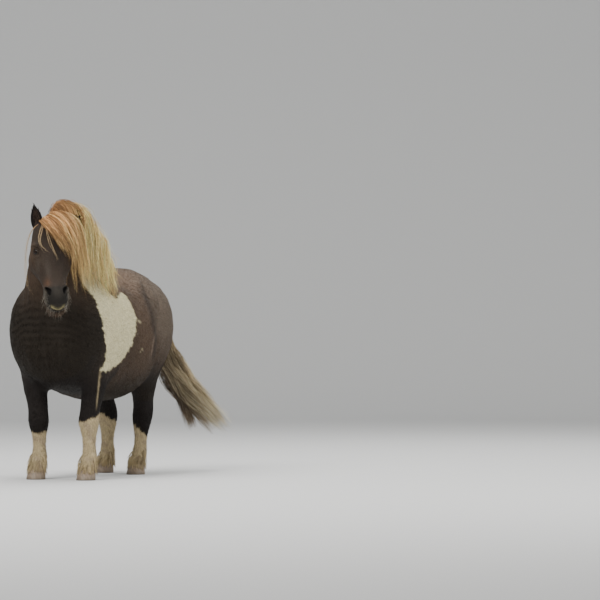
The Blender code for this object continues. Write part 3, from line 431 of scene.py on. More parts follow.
def remeshed(made, voxel):
    skin = made.modifiers.new("skin", "REMESH")
    skin.mode = "VOXEL"
    skin.voxel_size = voxel
    return apply_modifiers(made)


def smoothed(made, factor, rounds, group=""):
    ease = made.modifiers.new("ease", "SMOOTH")
    ease.factor = factor
    ease.iterations = rounds
    ease.vertex_group = group
    return apply_modifiers(made)


def sculpt(made, strokes, frame, mirror=True):
    """Pushes the skin near each stroke's centre, mirrored where the stroke lies off the middle."""
    points = np.empty(len(made.data.vertices) * 3)
    made.data.vertices.foreach_get("co", points)
    frame = np.array(frame)
    local = (points.reshape(-1, 3) - frame[:3, 3]) @ frame[:3, :3]
    start = local.copy()
    for centre, radii, push in strokes:
        for side in (1, -1) if mirror and centre[0] else (1,):
            turn = np.array([side, 1, 1])
            reach = (((start - turn * centre) / radii) ** 2).sum(1)
            local += np.outer(np.clip(1 - reach, 0, None) ** 2, turn * push)
    moved = local @ frame[:3, :3].T + frame[:3, 3]
    made.data.vertices.foreach_set("co", moved.ravel())
    made.data.update()
    return made


def broad_group(made):
    """A vertex group that is full on the trunk and neck and empty on the head and lower legs."""
    points = np.empty(len(made.data.vertices) * 3)
    made.data.vertices.foreach_get("co", points)
    points = points.reshape(-1, 3)
    frame = np.array(head_axes())
    local = (points - frame[:3, 3]) @ frame[:3, :3]
    near_head = np.clip((local[:, 1] + 0.19) / 0.05, 0, 1) * (points[:, 2] > 0.75) * (points[:, 1] < -0.5)
    weight = np.clip((points[:, 2] - 0.42) / 0.12, 0, 1) * (1 - near_head)
    group = made.vertex_groups.new(name="broad")
    for i in np.nonzero(weight > 0.01)[0]:
        group.add([int(i)], float(weight[i]), "REPLACE")
    return made


def flesh():
    """The whole body but ears, eyes, hooves and hair, as one dense smooth skin."""
    made = [trunk(), neck(), head()]
    for name, side in SIDES.items():
        made.append(leg(FORE_LEG, side))
        made.append(leg(HIND_LEG, side, HIND_SWING[name]))
        made += [muscle(centre, radii, side) for centre, radii in MUSCLES]
    skin = remeshed(joined("flesh", made), BODY_VOXEL)
    skin = smoothed(broad_group(skin), 0.5, 170, "broad")
    skin = smoothed(skin, 0.5, 5)
    sculpt(skin, BODY_STROKES, Matrix.Identity(4))
    return sculpt(skin, HEAD_STROKES, head_axes())


def placed(frame, local):
    """A head point given as side, front, down, in the shared frame."""
    return frame @ Vector(local)


def eye_frame(side):
    """Matrix at an eye: its long axis, its height and the way it looks."""
    frame = head_axes()
    mirror = Vector((side, 1, 1))
    look = Vector(a * b for a, b in zip(EYE_LOOK, mirror))
    long = Vector((0.0, 0.42, 0.90))
    long = (long - look * long.dot(look)).normalized()
    high = look.cross(long)
    turn = frame.to_3x3() @ Matrix((long, high, look)).transposed()
    centre = placed(frame, Vector(a * b for a, b in zip(EYE_CENTRE, mirror)))
    return Matrix.Translation(centre) @ turn.to_4x4()


def ear(side_name):
    """A cupped ear with a rim of its own, its root inside the head."""
    root, tip, cup = EARS[side_name]
    frame = head_axes()
    tip = tip.normalized()
    cup = (cup - tip * cup.dot(tip)).normalized()
    wide = cup.cross(tip)
    rings = []
    for share, half, back, front in spline(EAR, 8):
        centre = root + tip * (share * EAR_LENGTH) + cup * (0.012 * share * share)
        ring = []
        for s in np.linspace(-1, 1, 5):
            ring.append(centre + wide * (half * s) - cup * (back * (1 - s * s) - 0.0008))
        for s in np.linspace(1, -1, 5):
            ring.append(centre + wide * (half * s * 0.97) + cup * (front * (1 - s * s) + 0.0018))
        rings.append([placed(frame, point) for point in ring])
    return loft("ear_" + side_name, rings)


def hoof(name, middle):
    """A hoof with its toe forward and a flat sole on the ground."""
    turns = np.linspace(0, 2 * math.pi, 14, endpoint=False)
    rings = []
    for z, forward, half, front, back in HOOF:
        reach = np.where(np.cos(turns) > 0, front, back)
        y = middle[1] - forward - np.cos(turns) * reach
        rings.append(np.column_stack([middle[0] + np.sin(turns) * half, y, np.full(14, z)]))
    return loft(name, rings)


def foot_place(stations, side, swing):
    """Middle of a leg at the coronet."""
    rows = np.array(stations)[::-1]
    x, y = (np.interp(CORONET, rows[:, 0], rows[:, k]) for k in (1, 2))
    return side * x, y + swing * (1 - CORONET / HIP_HEIGHT)




# Arrays in and out of meshes
def points_of(made):
    found = np.empty(len(made.data.vertices) * 3)
    made.data.vertices.foreach_get("co", found)
    return found.reshape(-1, 3)


def normals_of(made):
    found = np.empty(len(made.data.vertices) * 3, np.float32)
    made.data.vertices.foreach_get("normal", found)
    return found.reshape(-1, 3).astype(float)


def set_points(made, points):
    made.data.vertices.foreach_set("co", np.ascontiguousarray(points).ravel())
    made.data.update()


def unit(rows):
    return rows / np.maximum(np.linalg.norm(rows, axis=-1, keepdims=True), 1e-9)


def ease(low, high, value):
    """0 below low, 1 above high and smooth between."""
    t = np.clip((value - low) / (high - low), 0, 1)
    return t * t * (3 - 2 * t)


def bell(value, width):
    return np.exp(-((value / width) ** 2))


def to_head(points):
    """Points as side, front and down of the head."""
    axes = np.array(head_axes())
    return (points - axes[:3, 3]) @ axes[:3, :3]


def wobble(points, scale, seed=0):
    """A smooth random field between about -1 and 1, from a few crossed waves."""
    rng = np.random.RandomState(seed)
    found = np.zeros(len(points))
    for _ in range(7):
        way = rng.normal(size=3)
        way /= np.linalg.norm(way)
        found += np.sin(points @ way * (6.28 / scale) * rng.uniform(0.6, 1.7) + rng.uniform(0, 6.28))
    return found / 3.2


# Skin
def split_finer(made, wanted, rounds=1):
    """Cuts each face whose middle is wanted into four."""
    for _ in range(rounds):
        work = bmesh.new()
        work.from_mesh(made.data)
        middles = np.array([f.calc_center_median() for f in work.faces])
        chosen = wanted(middles)
        edges = {e for f, take in zip(work.faces, chosen) if take for e in f.edges}
        bmesh.ops.subdivide_edges(work, edges=list(edges), cuts=1, use_grid_fill=True)
        work.to_mesh(made.data)
        work.free()
    return made


def near_head(points):
    local = to_head(points)
    return (local[:, 2] > -0.04) & (local[:, 1] > -0.16) & (points[:, 1] < -0.5) & (points[:, 2] > 0.74)


def near_features(points):
    local = np.abs(to_head(points) * (1, 0, 0)) + to_head(points) * (0, 1, 1)
    eye = np.linalg.norm(local - np.array(EYE_CENTRE), axis=1) < 0.034
    snout = (local[:, 2] > 0.305) & (points[:, 2] > 0.74) & (points[:, 1] < -0.5)
    return (eye | snout) & near_head(points)


def open_eye(points, side):
    """Presses the skin behind the eye between the lids, and raises the lids round it."""
    axes = np.array(eye_frame(side))
    q = (points - axes[:3, 3]) @ axes[:3, :3]
    reach = np.linalg.norm(q, axis=1)
    ahead = (q[:, 2] > 0) & (reach < 0.045)
    u = q[:, 0] / LID_HALF_LENGTH
    tall = LID_HALF_HEIGHT * np.clip(1 - u * u, 0, 1) ** 0.8
    past_end = np.hypot(np.maximum(np.abs(q[:, 0]) - LID_HALF_LENGTH, 0), q[:, 1])
    gap = np.where(np.abs(u) < 1, np.abs(q[:, 1]) - tall, past_end)
    sunk = np.minimum(reach, EYE_RADIUS * 0.80)
    lid = EYE_RADIUS + 0.0014 + 0.0022 * bell(gap - 0.0025, 0.003)
    crease = 0.0022 * bell(gap - 0.0085, 0.0022) * (q[:, 1] > 0)
    brow = 0.0030 * bell(gap - 0.0150, 0.005) * (q[:, 1] > 0)
    raised = np.maximum(reach, lid) - crease + brow
    raised = np.where(gap < 0.020, raised, reach)
    wanted = np.where(gap < -0.0004, sunk, raised)
    wanted = np.where(ahead, wanted, reach)
    return axes[:3, 3] + (q * (wanted / np.maximum(reach, 1e-6))[:, None]) @ axes[:3, :3].T


def nostril_ring(local, side):
    """How far each place of the head is from a nostril's middle, 1 at its rim, with how deep and which way out."""
    out = Vector((0.74 * side, 0.66, 0.12)).normalized()
    long = Vector((0.34 * side, -0.30, -0.89))
    long = (long - out * long.dot(out)).normalized()
    wide = out.cross(long) * side
    out, long, wide = np.array(out), np.array(long), np.array(wide)
    q = local - np.array(NOSTRIL_CENTRE) * (side, 1, 1) - np.array((0, 0, 0.003))
    u, v, w = q @ long, q @ wide, q @ out
    share = u / (NOSTRIL_RADII[1] * 1.08)
    bend = -0.22 * u * share
    return np.hypot(share, (v - bend) / (1.30 * NOSTRIL_RADII[0] * (1 - 0.35 * share))), w, out


def open_nostril(points, side):
    """Sinks a comma shaped nostril with a raised rim."""
    axes = np.array(head_axes())
    local = (points - axes[:3, 3]) @ axes[:3, :3]
    ring, deep, out = nostril_ring(local, side)
    close = (np.abs(deep) < 0.022) & (ring < 3.5)
    push = -0.020 * np.clip(1 - ring**2, 0, 1) ** 0.42 + 0.0032 * bell(ring - 1.40, 0.36)
    local += np.outer(np.where(close, push, 0), out)
    return axes[:3, 3] + local @ axes[:3, :3].T


def mouth_line(down):
    """How far forward the line of the mouth lies at each place down the head."""
    return MOUTH_DEPTH + 0.022 * ease(0.380, 0.424, down)


def part_lips(points, normals):
    """Cuts the line of the mouth and rounds the lips beside it."""
    local = to_head(points)
    off = local[:, 1] - mouth_line(local[:, 2])
    active = ease(MOUTH_CORNER - 0.004, MOUTH_CORNER + 0.020, local[:, 2]) * (points[:, 1] < -0.5)
    push = -0.0075 * bell(off, 0.0020) + 0.0022 * bell(np.abs(off) - 0.0075, 0.0045)
    return points + normals * (push * active)[:, None]


# Folds and bones of the face: centre, radii and push, each as side, front, down.
FACE_STROKES = [
    ((0.070, 0.046, 0.118), (0.030, 0.018, 0.016), (0.0020, 0.0030, 0.000)),
    ((0.083, 0.000, 0.205), (0.014, 0.020, 0.075), (0.0035, 0.000, 0.000)),
    ((0.080, 0.020, 0.215), (0.016, 0.012, 0.070), (-0.0030, 0.000, 0.000)),
    ((0.030, 0.052, 0.330), (0.012, 0.020, 0.040), (0.000, -0.0025, 0.000)),
    ((0.000, 0.052, 0.345), (0.016, 0.020, 0.034), (0.000, 0.0020, 0.000)),
    ((0.044, 0.004, 0.398), (0.020, 0.018, 0.020), (0.0025, 0.000, 0.002)),
    ((0.000, 0.030, 0.418), (0.008, 0.020, 0.016), (0.000, -0.0015, -0.0015)),
    ((0.000, -0.040, 0.412), (0.030, 0.024, 0.024), (0.000, 0.0020, 0.0110)),
    ((0.000, 0.026, 0.424), (0.036, 0.018, 0.014), (0.000, 0.0035, -0.0010)),
    ((0.048, -0.048, 0.300), (0.014, 0.026, 0.060), (-0.0030, 0.000, 0.000)),
    ((0.060, -0.010, 0.320), (0.014, 0.012, 0.026), (-0.0025, 0.000, 0.000)),
    ((0.076, -0.100, 0.130), (0.020, 0.040, 0.070), (0.0040, 0.000, 0.000)),
]
# Muscles, folds and hollows of the body, as x, y, z.
SHAPE_STROKES = [
    ((0.225, -0.215, 0.760), (0.060, 0.028, 0.150), (-0.0060, 0.000, 0.000)),
    ((0.215, -0.300, 0.640), (0.060, 0.060, 0.070), (0.0060, 0.000, 0.000)),
    ((0.170, -0.250, 0.560), (0.060, 0.040, 0.040), (0.0040, 0.005, 0.000)),
    ((0.220, 0.205, 0.560), (0.060, 0.030, 0.120), (-0.0060, 0.000, 0.000)),
    ((0.200, 0.300, 0.860), (0.060, 0.040, 0.060), (0.0050, 0.000, 0.003)),
    ((0.130, 0.455, 0.560), (0.060, 0.040, 0.120), (0.0030, 0.004, 0.000)),
    ((0.090, -0.520, 0.600), (0.030, 0.040, 0.090), (0.0000, -0.006, 0.000)),
    ((0.160, -0.360, 0.250), (0.030, 0.020, 0.035), (0.000, -0.003, 0.000)),
    ((0.105, 0.470, 0.300), (0.020, 0.030, 0.080), (-0.002, 0.004, 0.000)),
]
COAT_DEPTH = 0.0040
FACE_DEPTH = 0.0010
EAR_STEPS = 40


def fine_ear(side_name):
    """An ear of the same named sizes with many more stations and a soft rim."""
    root, tip, cup = EARS[side_name]
    axes = head_axes()
    tip = tip.normalized()
    cup = (cup - tip * cup.dot(tip)).normalized()
    wide = cup.cross(tip)
    rings = []
    for share, half, back, front in spline(EAR, EAR_STEPS):
        centre = root + tip * (share * EAR_LENGTH) + cup * (0.012 * share * share)
        ring = []
        for s in np.linspace(-1, 1, 15):
            ring.append(centre + wide * (half * s) - cup * (back * (1 - s * s) - 0.0008))
        for s in np.linspace(1, -1, 15):
            ring.append(centre + wide * (half * s * 0.97) + cup * (front * (1 - s * s) + 0.0018))
        rings.append([placed(axes, point) for point in ring])
    return loft("ear_" + side_name, rings)


def make_skin():
    """The whole hide but hooves and eyes: one mesh with lids, nostrils, lips and ears."""
    skin = flesh()
    split_finer(skin, near_head)
    smoothed(skin, 0.5, 2)
    split_finer(skin, near_features)
    sculpt(skin, FACE_STROKES, head_axes())
    sculpt(skin, SHAPE_STROKES, Matrix.Identity(4))
    points = points_of(skin)
    head_share = near_head(points) * ease(-0.04, 0.02, to_head(points)[:, 2])
    low_leg = 1 - ease(0.10, 0.34, points[:, 2])
    depth = COAT_DEPTH + (FACE_DEPTH - COAT_DEPTH) * np.maximum(head_share, 0.6 * low_leg)
    soft = wobble(points, 0.075, 8) * 0.0010 * (1 - head_share) * ease(0.30, 0.45, points[:, 2])
    fold = np.sin(6.28 * (points[:, 2] + 0.25 * points[:, 0]**2 / 0.2 + 0.010 * wobble(points, 0.16, 1)) / 0.034)
    soft = soft + 0.0008 * fold * chest_share(points) * (1 - head_share)
    points = points + normals_of(skin) * (soft - depth)[:, None]
    set_points(skin, points)
    points = part_lips(points, normals_of(skin))
    for side in SIDES.values():
        points = open_nostril(points, side)
        points = open_eye(points, side)
    set_points(skin, points)
    for name in SIDES:
        piece = fine_ear(name)
        pool = bpy.data.collections.new("ear")
        bpy.context.scene.collection.children.link(pool)
        pool.objects.link(piece)
        change = skin.modifiers.new("join", "BOOLEAN")
        change.operation = "UNION"
        change.operand_type = "COLLECTION"
        change.collection = pool
        change.solver = "MANIFOLD"
        apply_modifiers(skin)
        bpy.data.objects.remove(piece)
        bpy.data.collections.remove(pool)
    cut_below(skin, CORONET - 0.004)
    skin.name = "pony_hide"
    return skin


def cut_below(made, height):
    """Takes away all that lies below a height and closes the cut."""
    work = bmesh.new()
    work.from_mesh(made.data)
    everything = work.verts[:] + work.edges[:] + work.faces[:]
    cut = bmesh.ops.bisect_plane(
        work, geom=everything, plane_co=(0, 0, height), plane_no=(0, 0, 1), clear_inner=True
    )
    edges = [e for e in cut["geom_cut"] if isinstance(e, bmesh.types.BMEdge)]
    bmesh.ops.contextual_create(work, geom=edges)
    bmesh.ops.holes_fill(work, edges=[e for e in work.edges if e.is_boundary], sides=0)
    work.to_mesh(made.data)
    work.free()


# Colours of the coat, as light that it returns; some of them also carry painted shade and painted highlight
CHOCOLATE = (0.055, 0.036, 0.0235)
CHEST = (0.0165, 0.0122, 0.0082)
# Reddish brown of the coat, made brighter as a painted highlight where light falls on the back and cheeks.
LIT_RUDDY = (0.150, 0.097, 0.064)
GREY_SHEEN = (0.140, 0.110, 0.085)
# Near black: the legs' own colour, also painted shade in the flank fold and in the line of the mouth.
BLACK_LEG_AND_SHADE = (0.013, 0.010, 0.009)
PATCH = (0.640, 0.585, 0.370)
STOCKING = (0.505, 0.410, 0.245)
FACE = (0.043, 0.031, 0.0235)
MUZZLE = (0.016, 0.0140, 0.0115)
NOSE_SIDE = (0.170, 0.078, 0.040)
LIP = (0.330, 0.285, 0.140)
EAR_DARK = (0.012, 0.009, 0.009)
GOLD = (0.780, 0.520, 0.210)
STRAW = (0.880, 0.635, 0.285)
COPPER = (0.600, 0.345, 0.160)
# Dark brown of the mane's under layer and of dark strands between its locks: partly the hair's own colour, partly
# painted shade.
UNDER_MANE_SHADE = (0.085, 0.045, 0.025)
TAIL_DARK = (0.070, 0.048, 0.033)
TAIL_MID = (0.440, 0.350, 0.235)
TAIL_PALE = (0.930, 0.790, 0.530)
WHISKER = (0.300, 0.275, 0.230)

# Outline of the white patch on the left side, as y and z, from its foremost top point round.
PATCH_EDGE = np.array([
    (-0.380, 1.040), (-0.400, 0.957), (-0.402, 0.923), (-0.397, 0.864), (-0.398, 0.817), (-0.391, 0.769),
    (-0.379, 0.704), (-0.356, 0.644), (-0.342, 0.597), (-0.336, 0.549), (-0.346, 0.520), (-0.281, 0.513),
    (-0.196, 0.546), (-0.147, 0.592), (-0.084, 0.649), (-0.041, 0.715), (-0.018, 0.770), (-0.014, 0.830),
    (-0.022, 0.872), (-0.048, 0.892), (-0.096, 0.880), (-0.170, 0.862), (-0.215, 0.885), (-0.262, 1.040),
])
# The painted shadow in the fold between flank and haunch, as how far right it is seen and its height, and small pale
# flecks.
VIEW_TURN = math.radians(24)
FLANK_FOLD_SHADOW = ((0.307, 0.322, 0.299, 0.245), (0.570, 0.663, 0.787, 0.957))
FLECKS = [(0.241, 0.750, 0.0040), (0.233, 0.754, 0.0030), (0.251, 0.618, 0.0030), (0.244, 0.605, 0.0022), (0.228, 0.690, 0.0020)]
# Height where each leg turns white, and how much that rises towards the back and the outside.
STOCKINGS = {
    ("fore", 1): (0.300, 0.5, 0.2),
    ("fore", -1): (0.230, 0.3, 0.0),
    ("hind", 1): (0.192, -0.45, -0.9),
    ("hind", -1): (0.292, -0.2, 0.45),
}


def inside(points, outline):
    """Signed distance of 2-D points from a closed outline, above 0 inside."""
    best = np.full(len(points), 1e9)
    within = np.zeros(len(points), bool)
    for a, b in zip(outline, np.roll(outline, -1, axis=0)):
        along = b - a
        t = np.clip(((points - a) @ along) / (along @ along), 0, 1)
        best = np.minimum(best, np.linalg.norm(points - a - np.outer(t, along), axis=1))
        crosses = (a[1] > points[:, 1]) != (b[1] > points[:, 1])
        slope = (points[:, 1] - a[1]) / np.where(along[1] == 0, 1e-9, along[1])
        within ^= crosses & (points[:, 0] < a[0] + slope * along[0])
    return np.where(within, best, -best)


def blended(base, colour, share):
    return base + (np.array(colour) - base) * np.clip(share, 0, 1)[:, None]


def chest_share(points):
    """Where the fine folds of the breast and lower neck run, 1 at their middle."""
    x, y, z = points.T
    return ease(-0.36, -0.44, y) * bell(z - 0.745, 0.13) * ease(0.27, 0.20, np.abs(x))


def coat_colour(points):
    """The hide's markings at each point, for skin and hair alike, with painted shade, highlight and sheen laid over
    them.
    """
    x, y, z = points.T
    found = np.tile(np.array(CHOCOLATE), (len(points), 1))
    soft = wobble(points, 0.16, 1)
    found = blended(found, CHEST, ease(-0.22, -0.42, y) * ease(0.98, 0.76, z + 0.02 * soft))
    # Painted shade and highlight in bands along the fine folds of the chest.
    fold = np.sin(6.28 * (z + 0.25 * x * x / 0.2 + 0.010 * soft) / 0.034) * chest_share(points)
    found = found * (1 + 0.07 * fold)[:, None]
    # Reddish brown on the back and barrel, with a painted highlight on the top of the back, strongest on the left
    # side; then a painted grey sheen on the haunch, strongest on its left side.
    found = blended(found, LIT_RUDDY, (0.45 + 0.40 * ease(-0.02, 0.10, x)) * ease(0.84, 0.97, z + 0.03 * soft) * ease(-0.40, -0.10, y) * ease(0.42, 0.20, y))
    found = blended(found, LIT_RUDDY, 0.30 * ease(-0.10, 0.05, y) * ease(0.22, 0.12, y) * ease(0.45, 0.7, z))
    lit = 0.36 + 0.42 * ease(0.02, 0.14, x) * ease(1.04, 0.90, z)
    found = blended(found, GREY_SHEEN, lit * ease(0.10, 0.36, y + 0.03 * soft) * ease(0.52, 0.74, z))
    u = x * math.cos(VIEW_TURN) + y * math.sin(VIEW_TURN)
    left = ease(0.04, 0.08, x)
    # Painted shadow in the fold between flank and haunch on the left side, and a painted highlight along the fold's
    # pale edge.
    fold_shadow = np.interp(z, FLANK_FOLD_SHADOW[1], FLANK_FOLD_SHADOW[0])
    found = blended(found, BLACK_LEG_AND_SHADE, 0.50 * bell(u - fold_shadow, 0.0100) * ease(0.54, 0.60, z) * ease(0.97, 0.93, z) * left)
    edge = bell(u - 0.297 - 0.18 * (z - 0.587), 0.0026) * ease(0.575, 0.60, z) * ease(0.70, 0.66, z)
    found = blended(found, (0.24, 0.18, 0.135), 0.65 * edge * left)
    found = blended(found, BLACK_LEG_AND_SHADE, ease(0.60, 0.44, z + 0.02 * soft) * (np.abs(x) < 0.36) * ease(0.05, 0.02, belly(points)))
    patch = inside(np.column_stack([y, z]), PATCH_EDGE) + 0.0050 * wobble(points, 0.034, 2) + 0.0014 * wobble(points, 0.009, 3)
    found = blended(found, PATCH, ease(-0.003, 0.003, patch) * (x > 0.03))
    line = bell(u - 0.0340 - 0.098 * (z - 0.361), 0.0034) * ease(0.32, 0.38, z) * ease(0.55, 0.50, z)
    found = blended(found, STOCKING, 0.6 * line * (y < -0.2) * (x > 0.12))
    for spot_u, spot_z, size in FLECKS:
        found = blended(found, PATCH, 0.8 * bell(np.hypot(u - spot_u, 0.7 * (z - spot_z)), size) * left)
    for (which, side), (height, back, outer) in STOCKINGS.items():
        middle = -0.298 if which == "fore" else 0.385 if side > 0 else 0.435
        near = (np.sign(x) == side) & (np.abs(y - middle) < 0.12) & (z < 0.36)
        edge = height + back * (y - middle) + outer * (np.abs(x) - 0.125) + 0.007 * wobble(points, 0.035, 4)
        white = ease(0.004, -0.004, z - edge) * near
        found = blended(found, STOCKING, white)
        found = blended(found, (0.40, 0.30, 0.20), 0.25 * white * ease(0.09, 0.03, z))
        found = blended(found, (0.30, 0.23, 0.175), 0.45 * white * ease(0.1, 0.9, wobble(points, 0.05, 5)))
    trunk = (z > 0.36) & (y > -0.22)
    found = blended(found, CHEST, 0.75 * ease(0.56, 0.40, z + 0.015 * soft) * trunk * (patch < 0.0))
    return head_colour(points, found)


def belly(points):
    """How far a point lies inside the trunk's width, to keep the dark of the legs off the belly."""
    x, y, z = points.T
    return np.where((np.abs(y + 0.30) < 0.13) | (y > 0.22), 0.0, 0.06) * (z > 0.34)


def head_colour(points, found):
    x, y, z = points.T
    local = to_head(points)
    side, front, down = np.abs(local[:, 0]), local[:, 1], local[:, 2]
    face = near_head(points) * ease(-0.15, -0.09, front) * ease(-0.03, 0.03, down)
    tone = blended(np.tile(np.array(FACE), (len(points), 1)), CHOCOLATE, 0.6 * bell(side - 0.08, 0.03) * bell(down - 0.17, 0.07))
    tone = blended(tone, BLACK_LEG_AND_SHADE, 0.7 * bell(np.hypot(side - 0.075, front - 0.035), 0.016) * bell(down - 0.147, 0.020))
    # Painted highlight on the bulge of each cheek.
    tone = blended(tone, LIT_RUDDY, 0.45 * bell(side - 0.098, 0.016) * bell(down - 0.12, 0.06))
    tone = blended(tone, NOSE_SIDE, 0.36 * bell(local[:, 0] + 0.038, 0.014) * bell(down - 0.308, 0.024) * (front > 0))
    # Painted highlights on the right side of the nasal bone and on the right cheek.
    tone = blended(tone, (0.085, 0.070, 0.058), 0.45 * bell(local[:, 0] + 0.030, 0.012) * bell(down - 0.240, 0.045) * (front > 0.02))
    tone = blended(tone, (0.085, 0.070, 0.058), 0.40 * bell(local[:, 0] + 0.070, 0.014) * bell(down - 0.215, 0.040) * (front > -0.02))
    # Painted shadow of the forelock on the left of the face.
    tone = blended(tone, (0.012, 0.009, 0.008), 0.55 * bell(local[:, 0] - 0.030, 0.030) * bell(down - 0.180, 0.060) * (front > 0.02))
    tone = blended(tone, (0.014, 0.010, 0.009), 0.40 * bell(side - 0.062, 0.012) * bell(down - 0.110, 0.026) * (front > 0.02))
    tone = blended(tone, MUZZLE, ease(0.318, 0.345, down + 0.006 * wobble(points, 0.03, 6)))
    # Painted shade in the depth of each nostril.
    for place in SIDES.values():
        ring, deep, _ = nostril_ring(local, place)
        tone = blended(tone, (0.003, 0.0025, 0.0025), 0.96 * ease(1.18, 0.80, ring) * (np.abs(deep) < 0.034))
    # Painted sheen down the middle of the muzzle.
    tone = blended(tone, (0.042, 0.036, 0.030), 0.7 * bell(side, 0.022) * bell(down - 0.360, 0.030) * (front > 0.03))
    tone = blended(tone, (0.110, 0.095, 0.075), 0.6 * bell(side - 0.055, 0.007) * bell(down - 0.362, 0.030) * (front > -0.01))
    mouth = front - mouth_line(down)
    broken = 0.72 + 0.28 * wobble(points, 0.012, 7)
    tone = blended(tone, LIP, broken * bell(mouth - 0.0115, 0.0100) * ease(0.390, 0.404, down) * ease(0.037, 0.027, side))
    # Painted shade on the chin, below the line of the mouth.
    tone = blended(tone, (0.012, 0.009, 0.008), 0.9 * ease(0.001, -0.003, mouth) * ease(0.370, 0.395, down))
    tone = blended(tone, (0.15, 0.13, 0.10), 0.35 * bell(side - 0.052, 0.012) * ease(0.350, 0.372, down) * (front < 0.01))
    # Painted shade in the line of the mouth.
    tone = blended(tone, BLACK_LEG_AND_SHADE, 0.9 * bell(mouth, 0.0022) * ease(0.350, 0.37, down))
    found = found + (tone - found) * face[:, None]
    for name in SIDES:
        root, tip, _ = EARS[name]
        way = np.array(tip.normalized())
        q = local - np.array(root)
        along = q @ way
        away = np.linalg.norm(q - np.outer(along, way), axis=1)
        share = ease(0.004, 0.026, along) * (away < 0.045) * (along < 0.16)
        found = blended(found, EAR_DARK, share)
    return found


# Meshes of many like pieces
def many(name, points, faces, colours, maps, what, limit=185000):
    """Objects of many small closed pieces. Points are piece by corner, faces the same for each."""
    count, size = points.shape[:2]
    tris_each = sum(len(f) - 2 for f in faces)
    step = max(1, limit // tris_each)
    made = []
    for number, start in enumerate(range(0, count, step)):
        part = slice(start, min(start + step, count))
        made.append(many_mesh("%s_%02d" % (name, number), points[part], faces, colours[part], maps[part], what))
    return made


def many_mesh(name, points, faces, colours, maps, what):
    count, size = points.shape[:2]
    corners = np.concatenate([np.array(f) for f in faces])
    lengths = np.array([len(f) for f in faces])
    mesh = bpy.data.meshes.new(name)
    mesh.vertices.add(count * size)
    mesh.vertices.foreach_set("co", points.reshape(-1).astype(np.float32))
    loops = (corners[None] + (np.arange(count) * size)[:, None]).reshape(-1)
    mesh.loops.add(len(loops))
    mesh.loops.foreach_set("vertex_index", loops.astype(np.int32))
    starts = np.concatenate([[0], np.cumsum(np.tile(lengths, count))[:-1]])
    mesh.polygons.add(len(faces) * count)
    mesh.polygons.foreach_set("loop_start", starts.astype(np.int32))
    mesh.polygons.foreach_set("use_smooth", np.ones(len(faces) * count, bool))
    mesh.update(calc_edges=True)
    hue = mesh.color_attributes.new("hue", "FLOAT_COLOR", "POINT")
    rgba = np.ones((count * size, 4), np.float32)
    rgba[:, :3] = colours.reshape(-1, 3)
    hue.data.foreach_set("color", rgba.ravel())
    layer = mesh.uv_layers.new(name="OFBake")
    layer.data.foreach_set("uv", maps.reshape(-1, 2)[loops].astype(np.float32).ravel())
    made = bpy.data.objects.new(name, mesh)
    bpy.context.scene.collection.objects.link(made)
    made.data.materials.append(what)
    return made


PATCH_SIZE = 0.003


class Hide:
    """The finished skin, read as a ground for hair: places, normals and their spots on the unwrap."""

    def __init__(self, made):
        mesh = made.data
        mesh.calc_loop_triangles()
        count = len(mesh.loop_triangles)
        self.tris = np.empty(count * 3, np.int32)
        mesh.loop_triangles.foreach_get("vertices", self.tris)
        self.tris = self.tris.reshape(-1, 3)
        loops = np.empty(count * 3, np.int32)
        mesh.loop_triangles.foreach_get("loops", loops)
        uv = np.empty(len(mesh.loops) * 2, np.float32)
        mesh.uv_layers["OFBake"].data.foreach_get("uv", uv)
        self.uv = uv.reshape(-1, 2)[loops.reshape(-1, 3)]
        self.points = points_of(made)
        self.normals = normals_of(made)
        corner = self.points[self.tris]
        self.area = np.linalg.norm(np.cross(corner[:, 1] - corner[:, 0], corner[:, 2] - corner[:, 0]), axis=1) / 2
        self.middle = corner.mean(1)
        self.tree = BVHTree.FromPolygons([Vector(p) for p in self.points], self.tris.tolist())

    def sample(self, count, weight, rng):
        """Random places on the skin, more where the weight is more."""
        share = self.area * weight
        total = np.cumsum(share)
        chosen = np.searchsorted(total, rng.uniform(0, total[-1], count))
        return self.at(chosen, rng.uniform(size=(count, 2)))

    def at(self, chosen, pair):
        pair = np.where(pair.sum(1, keepdims=True) > 1, 1 - pair, pair)
        share = np.column_stack([1 - pair.sum(1), pair])[:, :, None]
        spots = (self.points[self.tris[chosen]] * share).sum(1)
        normals = unit((self.normals[self.tris[chosen]] * share).sum(1))
        return spots, normals, (self.uv[chosen] * share).sum(1)

    def spot_maps(self, spots):
        """Where the nearest skin of each place lies on the unwrap."""
        found = np.empty((len(spots), 2))
        for i, spot in enumerate(spots):
            face = self.tree.find_nearest(Vector(spot))[2]
            found[i] = self.uv[face].mean(0)
        return found


def patch_maps(roots, grid):
    """Each piece's own small patch of the unwrap, its corners set out on a grid of 0 to 1."""
    return roots[:, None, :] + (np.array(grid)[None] - 0.5) * PATCH_SIZE


TUFT_FACES = [(0, 1, 4, 3), (1, 2, 5, 4), (2, 0, 3, 5), (3, 4, 6), (4, 5, 6), (5, 3, 6), (2, 1, 0)]
TUFT_GRID = [(0, 0), (0.5, 0), (1, 0), (0, 0.5), (0.5, 0.5), (1, 0.5), (0.5, 1)]


SPIKE_FACES = [(0, 1, 3), (1, 2, 3), (2, 0, 3), (2, 1, 0)]
SPIKE_GRID = [(0, 0), (0.5, 0), (1, 0), (0.5, 1)]


